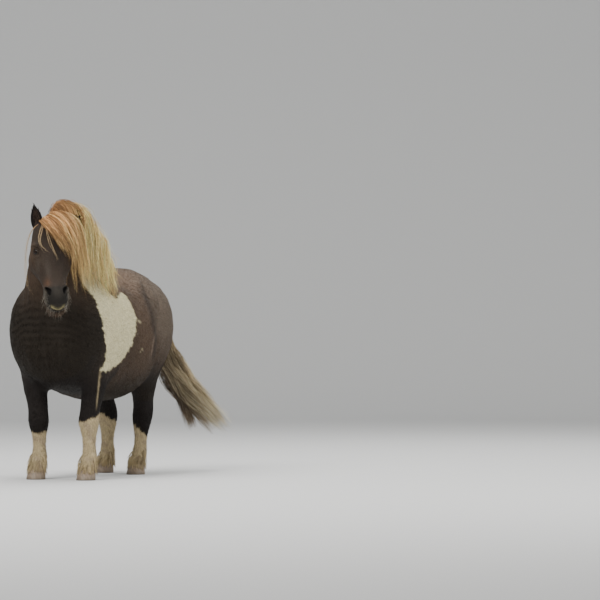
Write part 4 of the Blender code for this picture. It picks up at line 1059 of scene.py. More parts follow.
def tufts(name, hide, count, weight, length, width, lift, rng, what, lie, bent=True, shade=0.10):
    """Short blades of hair that lie along the coat, rooted just under the skin."""
    spots, normals, maps = hide.sample(count, weight, rng)
    way = lie(spots)
    way = way + rng.normal(size=way.shape) * 0.10
    way = way + np.column_stack([wobble(spots, 0.11, 11 + k) for k in range(3)]) * 0.16
    way = unit(way - normals * (way * normals).sum(1, keepdims=True))
    side = np.cross(normals, way)
    size = (length(spots) * rng.uniform(0.65, 1.25, count))[:, None]
    half = (width(spots) * rng.uniform(0.7, 1.2, count))[:, None] / 2
    high = lift(spots)[:, None] * rng.uniform(0.3, 1.1, (count, 1))
    base = spots - normals * 0.0008
    middle = base + way * size * 0.5 + normals * (high * 0.75 + 0.0006)
    curl = side * size * rng.normal(size=(count, 1)) * 0.06
    tip = base + way * size + normals * (high + 0.0004) + curl
    ridge = normals * half * 0.34
    rings = [base - side * half, base + ridge, base + side * half]
    if bent:
        rings += [middle - side * half * 0.8, middle + ridge * 0.8, middle + side * half * 0.8]
    points = np.stack(rings + [tip], 1)
    tone = coat_colour(spots + way * size * 0.3) * np.exp(rng.normal(size=(count, 1)) * shade)
    colours = np.repeat(tone[:, None, :], points.shape[1], 1)
    # The root drawn a little lighter and the tip much lighter, a painted highlight on the tips of the hair.
    colours[:, :3] *= 1.12
    colours[:, -1] *= 1.50
    faces, grid = (TUFT_FACES, TUFT_GRID) if bent else (SPIKE_FACES, SPIKE_GRID)
    return many(name, points, faces, colours, patch_maps(maps, grid), what)


def strands(name, hide, paths, width, colours, rng, what, facing, flat=0.45, roots=None):
    """Long hairs as closed three sided ribbons that narrow to their tips."""
    count, rows = paths.shape[:2]
    along = unit(np.gradient(paths, axis=1))
    face = np.broadcast_to(np.asarray(facing, float), (count, 3))[:, None, :]
    across = unit(np.cross(along, face))
    up = np.cross(across, along)
    share = np.linspace(0, 1, rows)
    slim = (0.70 + 0.75 * share - 1.36 * share**3)[None, :, None] * width[:, None, None]
    turns = np.radians((90, 210, 330))
    rings = [paths + slim * (np.cos(t) * across + flat * np.sin(t) * up) for t in turns]
    points = np.stack(rings, 2).reshape(count, rows * 3, 3)
    faces = [(2, 1, 0)]
    for r in range(rows - 1):
        a, b = 3 * r, 3 * r + 3
        faces += [(a, a + 1, b + 1, b), (a + 1, a + 2, b + 2, b + 1), (a + 2, a, b, b + 2)]
    faces.append((3 * rows - 3, 3 * rows - 2, 3 * rows - 1))
    colours = np.repeat(colours, 3, axis=1)
    grid = [(j / 2, r / (rows - 1)) for r in range(rows) for j in range(3)]
    maps = hide.spot_maps(paths[:, 1]) if roots is None else roots
    return many(name, points, faces, colours, patch_maps(maps, grid), what)


def clumps(guides, each, rows, spread, thick, rng, out, wave=0.003, shortest=0.72, loose=0.0, close=1.40):
    """Hairs gathered along guides: they fan out from the root and close to a point at the tip."""
    lines = np.array([spline(g, 24) for g in guides])
    count = len(lines) * each
    which = np.repeat(np.arange(len(lines)), each)
    reach = rng.uniform(shortest, 1.0, count)
    places = reach[:, None] * np.linspace(0, 1, rows)[None]
    spots = places * 23
    low = np.minimum(spots.astype(int), 22)
    rest = (spots - low)[..., None]
    paths = lines[which[:, None], low] * (1 - rest) + lines[which[:, None], low + 1] * rest
    along = unit(np.gradient(paths, axis=1))
    side = unit(np.cross(along, np.broadcast_to(np.asarray(out, float), along.shape)))
    up = np.cross(side, along)
    a = np.clip(rng.normal(size=(count, 1, 1)), -2, 2) * 0.62
    b = np.clip(rng.normal(size=(count, 1, 1)), -2, 2) * 0.62
    share = places[..., None]
    fan = 0.50 + 1.05 * share - close * share**3
    spread, thick = (np.asarray(v, float).reshape(-1, 1, 1) for v in (spread, thick))
    if spread.size > 1:
        spread, thick = spread[which], thick[which]
    paths = paths + side * a * spread * fan + up * b * thick * fan
    stray = (rng.uniform(size=(count, 1, 1)) < 0.15) * loose
    for part in (side, up):
        paths = paths + part * rng.normal(size=(count, 1, 1)) * stray * share**1.5
        turns = rng.uniform(0.6, 1.9, (count, 1, 1)) * share + rng.uniform(0, 1, (count, 1, 1))
        paths = paths + part * np.sin(6.28 * turns) * wave * share * rng.uniform(0.3, 1.4, (count, 1, 1))
    # The third result shades each hair: painted shade deeper in the lock and in bands across it, painted light on its
    # outer face.
    bands = np.sin(5.0 * a / 0.62 + rng.uniform(0, 6.28, len(lines))[which][:, None, None])
    return paths, which, np.minimum(np.exp(0.40 * b / 0.62 + 0.34 * bands), 1.22)


def toned(count, rows, stops, rng, spread=0.22, streak=None, which=None, deep=1.0):
    """Colours from root to tip through the given stops, each hair and lock a little lighter or darker, and each hair
    times deep, the painted shade of its place in its lock.
    """
    share = np.linspace(0, 1, rows)
    spots = np.linspace(0, 1, len(stops))
    line = np.stack([np.interp(share, spots, [s[k] for s in stops]) for k in range(3)], -1)
    tone = np.exp(rng.normal(size=(count, 1, 1)) * spread)
    if which is not None:
        tone = tone * np.exp(np.clip(rng.normal(size=which.max() + 1), -2.0, 0.8) * 0.33)[which][:, None, None]
    found = line[None] * tone
    if streak:
        chance, colour = streak
        pick = rng.uniform(size=count) < chance
        found[pick] = found[pick] * 0.25 + np.array(colour) * 0.75
    return np.minimum(found * deep, 0.95)


# Guides of the long hair
def row_at(rows, share):
    """The place part of the way along a row of places, 0 at its first and 1 at its last."""
    rows = np.array(rows, float)
    spots = np.linspace(0, 1, len(rows))
    return np.array([np.interp(share, spots, rows[:, k]) for k in range(rows.shape[1])])


def kept_off(spot, tree, lift):
    near, normal, _, _ = tree.find_nearest(spot)
    lack = lift - (spot - near).dot(normal)
    return spot + normal * lack if lack > 0 and (spot - near).length < 0.12 else spot


def waved(path, rng, size, across=(0.35, 0.90, 0.0), up=(0.6, -0.2, 0.5)):
    """A smooth path with a slow wave that grows from its root."""
    lines = spline(path, 14)
    share = np.linspace(0, 1, 14)
    grow = size * ease(0.10, 0.55, share)
    for way, part in ((across, 1.0), (up, 0.45)):
        turn = rng.uniform(1.2, 2.4) * share + rng.uniform(0, 1)
        lines += np.outer(np.sin(6.28 * turn) * grow * part * rng.uniform(0.3, 1.3), way)
    return lines


def mane_guides(tree, rng):
    """Paths from the crest up over the left ear, out and down that side of the neck."""
    guides, layers, shares = [], [], []
    for layer, (count, reach, tip_high, tip_low) in enumerate(MANE_LAYERS):
        for i in range(count):
            share = (i + rng.uniform(0, 1)) / count
            x, y = row_at(MANE_ROOTS, share)
            spot, normal, _, _ = tree.ray_cast(Vector((x + rng.uniform(-0.010, 0.012), y, 2.0)), Vector((0, 0, -1)))
            wander = min(max(share + rng.uniform(-0.10, 0.12), 0), 1)
            crown = Vector(row_at(MANE_CROWN, wander))
            kept = reach * rng.uniform(0.86, 1.04)
            crown = Vector((spot.x + (crown.x - spot.x) * kept, spot.y + (crown.y - spot.y) * kept,
                            spot.z + (crown.z - spot.z) * kept**0.7))
            tip_x, tip_y = row_at(MANE_TIPS, wander)
            high = tip_high + (tip_low - tip_high) * share + rng.uniform(-0.060, 0.075)
            tip = Vector((tip_x * (0.80 + 0.20 * kept) + rng.uniform(-0.025, 0.014), tip_y + rng.uniform(-0.03, 0.03), high))
            rise = spot.lerp(crown, 0.38) + Vector((0, 0, (0.030 + 0.5 * max(crown.z - spot.z, 0)) * kept))
            over = crown.lerp(tip, 0.30) + Vector((0.014, 0.008, 0.030)) * kept
            path = [spot - normal * 0.004, spot + normal * 0.006, rise, crown, over, crown.lerp(tip, 0.66), tip]
            path[2:] = [kept_off(p, tree, 0.006 + 0.010 * kept) for p in path[2:]]
            guides.append(waved(path, rng, 0.012))
            layers.append(layer)
            shares.append(share)
    return guides, np.array(layers), np.array(shares)


# Thin strands blown over the face.
FACE_WISPS = [
    [(-0.020, -0.010, -0.020), (-0.062, 0.030, 0.020), (-0.092, 0.012, 0.060), (-0.112, -0.006, 0.130), (-0.126, -0.018, 0.235),
     (-0.124, -0.014, 0.300), (-0.104, -0.004, 0.360)],
    [(-0.020, -0.006, -0.020), (-0.032, 0.060, 0.030), (-0.046, 0.080, 0.065), (-0.058, 0.074, 0.105), (-0.050, 0.078, 0.150),
     (-0.026, 0.080, 0.185), (-0.010, 0.076, 0.212)],
    [(-0.016, -0.006, -0.020), (-0.018, 0.070, 0.040), (-0.020, 0.088, 0.090), (-0.010, 0.084, 0.142), (0.004, 0.080, 0.190), (0.018, 0.074, 0.232)],
    [(0.000, -0.010, -0.020), (0.012, 0.070, 0.030), (0.038, 0.088, 0.100), (0.056, 0.078, 0.160), (0.060, 0.064, 0.225)],
]


def head_guides(rows, each, size, tree, rng, keep):
    """Guides through rows of places on the head, each moved a little, kept off the skin."""
    frame_at = head_axes()
    guides = []
    for row in rows:
        for _ in range(each):
            push = rng.uniform(-size, size, 3)
            last = len(row) - 1
            path = [placed(frame_at, Vector(p) + Vector(push) * (0.6 + i / last)) for i, p in enumerate(row)]
            near, normal, _, _ = tree.find_nearest(path[0])
            path[0] = near - normal * 0.003
            path[1:] = [kept_off(p, tree, keep * rng.uniform(0.5, 1.5)) for p in path[1:]]
            if rng.uniform() < 0.4:
                path[-1] = path[-1].lerp(path[-2], rng.uniform(0.1, 0.6))
            guides.append(waved(path, rng, size * 0.7))
    return guides


def tail_guides(rng, count):
    """Guides that leave the dock all round it and wave down the tail's path, with how far to the right each is."""
    path = np.array(TAIL_PATH)
    guides, outers = [], []
    for i in range(count):
        angle = 2.399 * i
        start = 0.25 + 3.3 * ((i * 0.618) % 1.0)
        stop = len(path) - 1 + rng.choice((0.09, 0.05, 0.0, -0.1, -0.5, -1.1))
        spread = math.sqrt((i + 0.5) / count)
        turns, size, first = rng.uniform(1.8, 3.4), rng.uniform(0.008, 0.026), rng.uniform(0, 6.28)
        points = []
        for step in np.linspace(start, stop, 15):
            middle = np.array([np.interp(step, range(len(path)), path[:, k]) for k in range(3)])
            middle += (path[-1] - path[-2]) * max(0.0, step - len(path) + 1)
            gone = step - start
            fan = np.interp(step, range(len(path)), TAIL_SPREAD) * spread * min(1.0, 0.3 + 1.2 * gone)
            fan = max(fan, spread * (0.034 + 0.004 * step)) if step < 3.5 else fan
            turned = angle + 0.25 * gone
            wave = size * min(1.0, gone / 3) * math.sin(first + turns * gone)
            points.append(middle + np.array((0.97, -0.20, 0.1)) * (math.cos(turned) * fan + wave)
                          + np.array((0.15, 0.55, 0.2)) * (math.sin(turned) * fan))
        guides.append(points)
        outers.append(spread * math.cos(angle + 0.6))
    for _ in range(9):
        push = rng.uniform(-0.016, 0.016, 3)
        points = np.array(TAIL_FORK) + push * np.linspace(0.3, 1, len(TAIL_FORK))[:, None]
        guides.append(list(spline(points, 15)))
        outers.append(-0.9)
    return guides, np.array(outers)


def foot_guides(middle, tree, rng, count):
    """Hair round a fetlock that hangs over the hoof, longest at its back."""
    guides = []
    for i in range(count):
        angle = rng.uniform(-math.pi, math.pi)
        back = 0.5 + 0.5 * math.cos(angle)
        out = Vector((math.sin(angle), math.cos(angle), 0))
        height = rng.uniform(0.050, 0.085 + 0.075 * back)
        start = Vector((middle[0], middle[1] + 0.012 * (height / 0.1), height))
        near, normal, _, _ = tree.ray_cast(start + out * 0.2, -out)
        if near is None or math.hypot(near.x - middle[0], near.y - middle[1]) > 0.075:
            continue
        low = max(near.z - rng.uniform(0.036, 0.055 + 0.035 * back), rng.uniform(0.010, 0.030))
        path = [near - normal * 0.003]
        for share in (0.3, 0.65, 1.0):
            wide = 0.043 + (0.001 + 0.007 * back) * share
            flat = Vector((middle[0], middle[1] - 0.002, 0)) + out * wide
            spot = near.lerp(flat, min(1.0, 0.15 + share)) + out * 0.002
            spot.z = near.z + (low - near.z) * share
            path.append(spot)
        guides.append([tuple(p) for p in path])
    return guides


# Materials
def coat_material(name, roughness, speckle=0.12, bump=0.0):
    """A coat coloured by the hue on its points, markings and painted shade and highlight alike, broken up by fine
    noise.
    """
    made = bpy.data.materials.new(name)
    made.use_nodes = True
    tree = made.node_tree
    shader = tree.nodes["Principled BSDF"]
    hue = tree.nodes.new("ShaderNodeAttribute")
    hue.attribute_name = "hue"
    place = tree.nodes.new("ShaderNodeTexCoord")
    turn = tree.nodes.new("ShaderNodeMapping")
    turn.inputs["Rotation"].default_value = (math.radians(-28), 0, 0)
    turn.inputs["Scale"].default_value = (1.0, 0.22, 0.8)
    grain = tree.nodes.new("ShaderNodeTexNoise")
    grain.inputs["Scale"].default_value = 620.0
    grain.inputs["Detail"].default_value = 4.0
    tree.links.new(place.outputs["Object"], turn.inputs["Vector"])
    tree.links.new(turn.outputs["Vector"], grain.inputs["Vector"])
    level = tree.nodes.new("ShaderNodeMapRange")
    level.inputs["From Min"].default_value = 0.36
    level.inputs["From Max"].default_value = 0.64
    level.inputs["To Min"].default_value = 1.0 - speckle
    level.inputs["To Max"].default_value = 1.0 + speckle
    tree.links.new(grain.outputs["Fac"], level.inputs["Value"])
    scaled = tree.nodes.new("ShaderNodeVectorMath")
    scaled.operation = "SCALE"
    tree.links.new(hue.outputs["Color"], scaled.inputs[0])
    tree.links.new(level.outputs["Result"], scaled.inputs["Scale"])
    tree.links.new(scaled.outputs["Vector"], shader.inputs["Base Color"])
    shader.inputs["Roughness"].default_value = roughness
    shader.inputs["Specular IOR Level"].default_value = 0.15
    if bump:
        rough = tree.nodes.new("ShaderNodeBump")
        rough.inputs["Strength"].default_value = bump
        rough.inputs["Distance"].default_value = 0.0010
        tree.links.new(grain.outputs["Fac"], rough.inputs["Height"])
        tree.links.new(rough.outputs["Normal"], shader.inputs["Normal"])
    return made


def plain_material(name, colour, roughness):
    made = bpy.data.materials.new(name)
    made.use_nodes = True
    shader = made.node_tree.nodes["Principled BSDF"]
    shader.inputs["Base Color"].default_value = (*colour, 1)
    shader.inputs["Roughness"].default_value = roughness
    return made


def hue_material(name, roughness, shine=0.5):
    """A smooth surface coloured by its own points."""
    made = plain_material(name, (0.5, 0.5, 0.5), roughness)
    tree = made.node_tree
    tree.nodes["Principled BSDF"].inputs["Specular IOR Level"].default_value = shine
    hue = tree.nodes.new("ShaderNodeAttribute")
    hue.attribute_name = "hue"
    tree.links.new(hue.outputs["Color"], tree.nodes["Principled BSDF"].inputs["Base Color"])
    return made


def paint(made, colours):
    hue = made.data.color_attributes.new("hue", "FLOAT_COLOR", "POINT")
    rgba = np.ones((len(colours), 4), np.float32)
    rgba[:, :3] = colours
    hue.data.foreach_set("color", rgba.ravel())


def smooth_faces(made):
    made.data.polygons.foreach_set("use_smooth", np.ones(len(made.data.polygons), bool))
    made.data.update()


def dressed(made, what):
    made.data.materials.clear()
    made.data.materials.append(what)
    return made


# Eyes and hooves
IRIS = (0.016, 0.008, 0.004)
PUPIL = (0.003, 0.003, 0.004)
EYE_RIM = (0.006, 0.004, 0.004)


def fine_eye(name, side):
    """A round eye with a wide lying pupil in a dark brown iris."""
    axes = np.array(eye_frame(side))
    rows, turns = 40, 64
    points, faces = [(0, 0, 1)], []
    for r in range(1, rows):
        tall = math.pi * r / rows
        for t in range(turns):
            a = 2 * math.pi * t / turns
            points.append((math.sin(tall) * math.cos(a), math.sin(tall) * math.sin(a), math.cos(tall)))
    points.append((0, 0, -1))
    ball = np.array(points)
    for t in range(turns):
        n = (t + 1) % turns
        faces.append((0, 1 + t, 1 + n))
        for r in range(rows - 2):
            a, b = 1 + r * turns, 1 + (r + 1) * turns
            faces.append((a + t, b + t, b + n, a + n))
        last = 1 + (rows - 2) * turns
        faces.append((last + t, len(points) - 1, last + n))
    made = mesh_object(name, [tuple(p) for p in ball], faces)
    set_points(made, axes[:3, 3] + ball * EYE_RADIUS @ axes[:3, :3].T)
    ring = np.hypot(ball[:, 0] / 0.30, ball[:, 1] / 0.16)
    angle = np.arctan2(ball[:, 1], ball[:, 0])
    iris = np.array(IRIS) * (1 + 0.35 * np.sin(angle * 23) + 0.25 * np.sin(angle * 41))[:, None]
    out = np.hypot(ball[:, 0], ball[:, 1])
    tone = iris + (np.array(EYE_RIM) - iris) * (ease(0.48, 0.62, out) + (ball[:, 2] < 0))[:, None].clip(0, 1)
    tone = tone + (np.array(PUPIL) - tone) * ease(1.1, 0.9, ring)[:, None] * (ball[:, 2] > 0)[:, None]
    paint(made, tone)
    smooth_faces(made)
    return made


def fine_hoof(name, middle):
    """A hoof of the same named sizes with growth rings, a rounded toe and a dark sole edge."""
    rows = spline(HOOF, 24)
    rings = []
    for row, (height, forward, half, front, back) in enumerate(rows):
        ridge = 0.0005 * math.sin(height * 900) if 0.006 < height < 0.04 else 0.0
        rings.append([
            Vector((middle[0] + (half + ridge) * x, middle[1] - forward + (y * (back if y > 0 else front)), height))
            for x, y in ((math.cos(t), math.sin(t)) for t in np.linspace(0, 2 * math.pi, 64, endpoint=False))
        ])
    made = loft(name, rings)
    points = points_of(made)
    streak = wobble(points * (1, 1, 0.12), 0.012, 9)
    tone = np.tile(np.array((0.200, 0.150, 0.105)), (len(points), 1)) * (1 + 0.22 * streak)[:, None]
    tone *= (0.55 + 0.45 * ease(0.0, 0.020, points[:, 2]))[:, None]
    paint(made, tone)
    smooth_faces(made)
    return made


# Where hair is wanted, how long it is and which way it lies
def lie(points):
    x, y, z = points.T
    way = np.column_stack([0.05 * np.sign(x), np.full(len(x), 0.80), np.full(len(x), -0.50)])
    low = ease(0.56, 0.36, z)[:, None]
    way = way * (1 - low) + np.array((0.0, 0.12, -1.0)) * low
    front = (ease(-0.44, -0.54, y) * ease(0.50, 0.60, z))[:, None]
    way = way * (1 - front) + np.column_stack([0.35 * np.sign(x), np.full(len(x), 0.1), np.full(len(x), -1.0)]) * front
    axes = np.array(head_axes())[:3, :3]
    local = to_head(points)
    toward = np.column_stack([0.35 * local[:, 0] / 0.08, np.full(len(x), -0.12), np.full(len(x), 1.0)])
    toward[:, 1] += 0.25 * (np.abs(local[:, 0]) > 0.06)
    headed = (near_head(points) * ease(-0.03, 0.04, local[:, 2]))[:, None]
    way = way * (1 - headed) + toward @ axes.T * headed
    for name in SIDES:
        root, tip, _ = EARS[name]
        tip = np.array(tip.normalized())
        q = local - np.array(root)
        along = q @ tip
        on_ear = (along > 0.008) & (np.linalg.norm(q - np.outer(along, tip), axis=1) < 0.045) & (along < 0.16)
        way[on_ear] = axes @ tip
    return unit(way)


def coat_length(points):
    x, y, z = points.T
    long = 0.021 + 0.005 * ease(0.58, 0.46, z) * (z > 0.40) + 0.004 * bell(y + 0.50, 0.10) * ease(0.9, 0.7, z)
    return long - 0.005 * ease(0.38, 0.30, z)


def coat_width(points):
    return 0.0026 - 0.0006 * ease(0.40, 0.30, points[:, 2])


def coat_lift(points):
    return 0.0013 + 0.0035 * ease(0.34, 0.22, points[:, 2])


def face_length(points):
    down = to_head(points)[:, 2]
    return 0.0110 - 0.0062 * ease(0.20, 0.33, down)


def face_width(points):
    return 0.0018 - 0.0008 * ease(0.20, 0.33, to_head(points)[:, 2])


def face_lift(points):
    return 0.0014 - 0.0008 * ease(0.22, 0.33, to_head(points)[:, 2])


def bare(points):
    """1 where hair may grow and 0 on the eyes, in the nostrils and between the lips."""
    local = to_head(points)
    free = np.ones(len(points))
    for side in SIDES.values():
        axes = np.array(eye_frame(side))
        q = (points - axes[:3, 3]) @ axes[:3, :3]
        lid = np.hypot(q[:, 0] / (LID_HALF_LENGTH + 0.004), q[:, 1] / (LID_HALF_HEIGHT + 0.004))
        free[(lid < 1) & (q[:, 2] > 0) & (np.linalg.norm(q, axis=1) < 0.04)] = 0
        hole = np.linalg.norm((local - np.array(NOSTRIL_CENTRE) * (side, 1, 1)) / (0.018, 0.018, 0.024), axis=1)
        free[hole < 1] = 0
    mouth = (np.abs(local[:, 1] - MOUTH_DEPTH) < 0.005) & (local[:, 2] > MOUTH_CORNER) & (points[:, 1] < -0.5)
    free[mouth & near_head(points)] = 0
    return free


def unwrap(made):
    """Unwraps the hide by its own shape."""
    bpy.context.view_layer.objects.active = made
    made.select_set(True)
    made.data.uv_layers.new(name="OFBake")
    bpy.ops.object.mode_set(mode="EDIT")
    bpy.ops.mesh.select_all(action="SELECT")
    bpy.ops.uv.smart_project(angle_limit=math.radians(66), island_margin=0.001)
    bpy.ops.object.mode_set(mode="OBJECT")
    made.select_set(False)


def moved(made, shift):
    set_points(made, points_of(made) + shift)
    return made


def grow_coat(hide, hair):
    """The short coat all over, and its finer kind on the face and feet."""
    rng = np.random.RandomState(21)
    share = 1.0
    middle = hide.middle
    headed = near_head(middle) * ease(-0.03, 0.04, to_head(middle)[:, 2])
    free = bare(middle)
    body = (1 - headed) * ease(0.050, 0.060, middle[:, 2])
    body = body * (1 + 1.2 * ease(0.40, 0.30, middle[:, 2]))
    made = tufts("coat", hide, int(55000 * share), body * free, coat_length, coat_width, coat_lift, rng, hair, lie)
    face = headed * free * (1 + 1.5 * ease(0.26, 0.34, to_head(middle)[:, 2]))
    made += tufts("coat_face", hide, int(34000 * share), face, face_length, face_width, face_lift, rng, hair, lie, False)
    return made


# Colours from root to tip for each mane layer from the inner to the outer: coppery roots and straw tips, the inner
# layers darker as painted shade.
MANE_STOPS = [
    (COPPER, UNDER_MANE_SHADE, UNDER_MANE_SHADE, (0.22, 0.13, 0.07)),
    (COPPER, (0.36, 0.19, 0.085), (0.42, 0.25, 0.12), GOLD),
    (COPPER, (0.50, 0.27, 0.12), GOLD, STRAW, STRAW),
    (COPPER, (0.52, 0.30, 0.14), GOLD, STRAW, STRAW),
]
FORELOCK_STOPS = (COPPER, (0.46, 0.235, 0.095), (0.44, 0.245, 0.105), (0.56, 0.37, 0.165))
GOLDEN_STOPS = (COPPER, (0.50, 0.29, 0.125), (0.56, 0.37, 0.160), (0.64, 0.44, 0.195), GOLD)


def grow_mane(hide, hair):
    rng = np.random.RandomState(31)
    made = []
    guides, layers, shares = mane_guides(hide.tree, rng)
    rows = 12
    for layer, each, thin in ((0, 20, 0.0012), (1, 26, 0.0011), (2, 30, 0.0010), (3, 28, 0.0009)):
        chosen = [g for g, k in zip(guides, layers) if k == layer]
        paths, which, deep = clumps(chosen, each, rows, 0.017, 0.012, rng, (0.8, -0.3, 0.5), 0.0055, 0.66, 0.026)
        streak = (0.20, UNDER_MANE_SHADE) if layer > 1 else (0.30, GOLD)
        count = len(paths)
        colours = toned(count, rows, MANE_STOPS[layer], rng, 0.22, streak, which, deep)
        orange = toned(count, rows, FORELOCK_STOPS, rng, 0.24, (0.20, UNDER_MANE_SHADE), which, deep)
        poll = ease(0.30, 0.10, shares[layers == layer][which] + rng.uniform(-0.08, 0.08, count))[:, None, None]
        colours = colours * (1 - poll) + orange * poll
        width = thin * rng.uniform(0.6, 1.3, count)
        made += strands("mane_%d" % layer, hide, paths, width, colours, rng, hair, (0.7, -0.5, 0.5))
    return made


def grow_forelock(hide, hair):
    rng = np.random.RandomState(41)
    rows = 12
    out = np.array(head_axes())[:3, 1]
    guides = head_guides(FORELOCK, 10, 0.009, hide.tree, rng, 0.008)
    paths, which, deep = clumps(guides, 22, rows, 0.008, 0.007, rng, out, 0.0045, 0.66, 0.012)
    colours = toned(len(paths), rows, FORELOCK_STOPS, rng, 0.30, (0.32, UNDER_MANE_SHADE), which, deep)
    gold = toned(len(paths), rows, GOLDEN_STOPS, rng, 0.26, (0.24, UNDER_MANE_SHADE), which, deep)
    left = ease(35, 65, which + rng.uniform(-12, 12, len(which)))[:, None, None]
    colours = colours * (1 - left) + gold * left
    width = 0.0010 * rng.uniform(0.6, 1.3, len(paths))
    made = strands("forelock", hide, paths, width, colours, rng, hair, out)
    paths, _, _ = clumps(head_guides(FACE_WISPS, 3, 0.006, hide.tree, rng, 0.005), 4, 24, 0.0022, 0.002, rng, out, 0.004, 0.6)
    colours = toned(len(paths), 24, ((0.34, 0.19, 0.09), (0.42, 0.30, 0.17), (0.50, 0.38, 0.22)), rng, 0.25)
    width = 0.00042 * rng.uniform(0.6, 1.2, len(paths))
    return made + strands("face_wisps", hide, paths, width, colours, rng, hair, out)


def grow_tail(hide, hair):
    rng = np.random.RandomState(51)
    rows = 16
    guides, outers = tail_guides(rng, 66)
    made = []
    for name, chosen, stops, streak in (
        ("tail_dark", outers < -0.62, (TAIL_DARK, TAIL_DARK, (0.085, 0.058, 0.040), (0.13, 0.092, 0.062), (0.24, 0.18, 0.12)),
         (0.22, TAIL_MID)),
        ("tail_pale", outers >= -0.62, (TAIL_DARK, (0.24, 0.19, 0.13), TAIL_MID, (0.70, 0.57, 0.37), TAIL_PALE),
         (0.34, TAIL_DARK)),
    ):
        picked = [g for g, take in zip(guides, chosen) if take]
        paths, which, deep = clumps(picked, 42, rows, 0.015, 0.012, rng, (0.2, 0.9, 0.3), 0.0095, 0.84, 0.010, 1.02)
        colours = toned(len(paths), rows, stops, rng, 0.24, streak, which, deep)
        width = 0.0013 * rng.uniform(0.6, 1.3, len(paths))
        made += strands(name, hide, paths, width, colours, rng, hair, (0.3, 0.9, 0.3))
    return made


def grow_feet(hide, hair):
    rng = np.random.RandomState(61)
    made = []
    for name, side in SIDES.items():
        for which, middle in (("fore", foot_place(FORE_LEG, side, 0.0)), ("hind", foot_place(HIND_LEG, side, HIND_SWING[name]))):
            guides = foot_guides(middle, hide.tree, rng, 110)
            paths, _, _ = clumps(guides, 7, 6, 0.005, 0.003, rng, (0.0, 0.3, 1.0), 0.002, 0.7)
            roots = coat_colour(paths[:, 0])[:, None, :]
            colours = toned(len(paths), 6, ((1, 1, 1), (1.05, 1.0, 0.93), (1.0, 0.93, 0.82)), rng, 0.20) * roots
            width = 0.0010 * rng.uniform(0.6, 1.3, len(paths))
            out = unit(paths[:, -1] - np.array((middle[0], middle[1], 0.03)))
            made += strands("feather_%s_%s" % (which, name), hide, paths, width, colours, rng, hair, out)
    return made


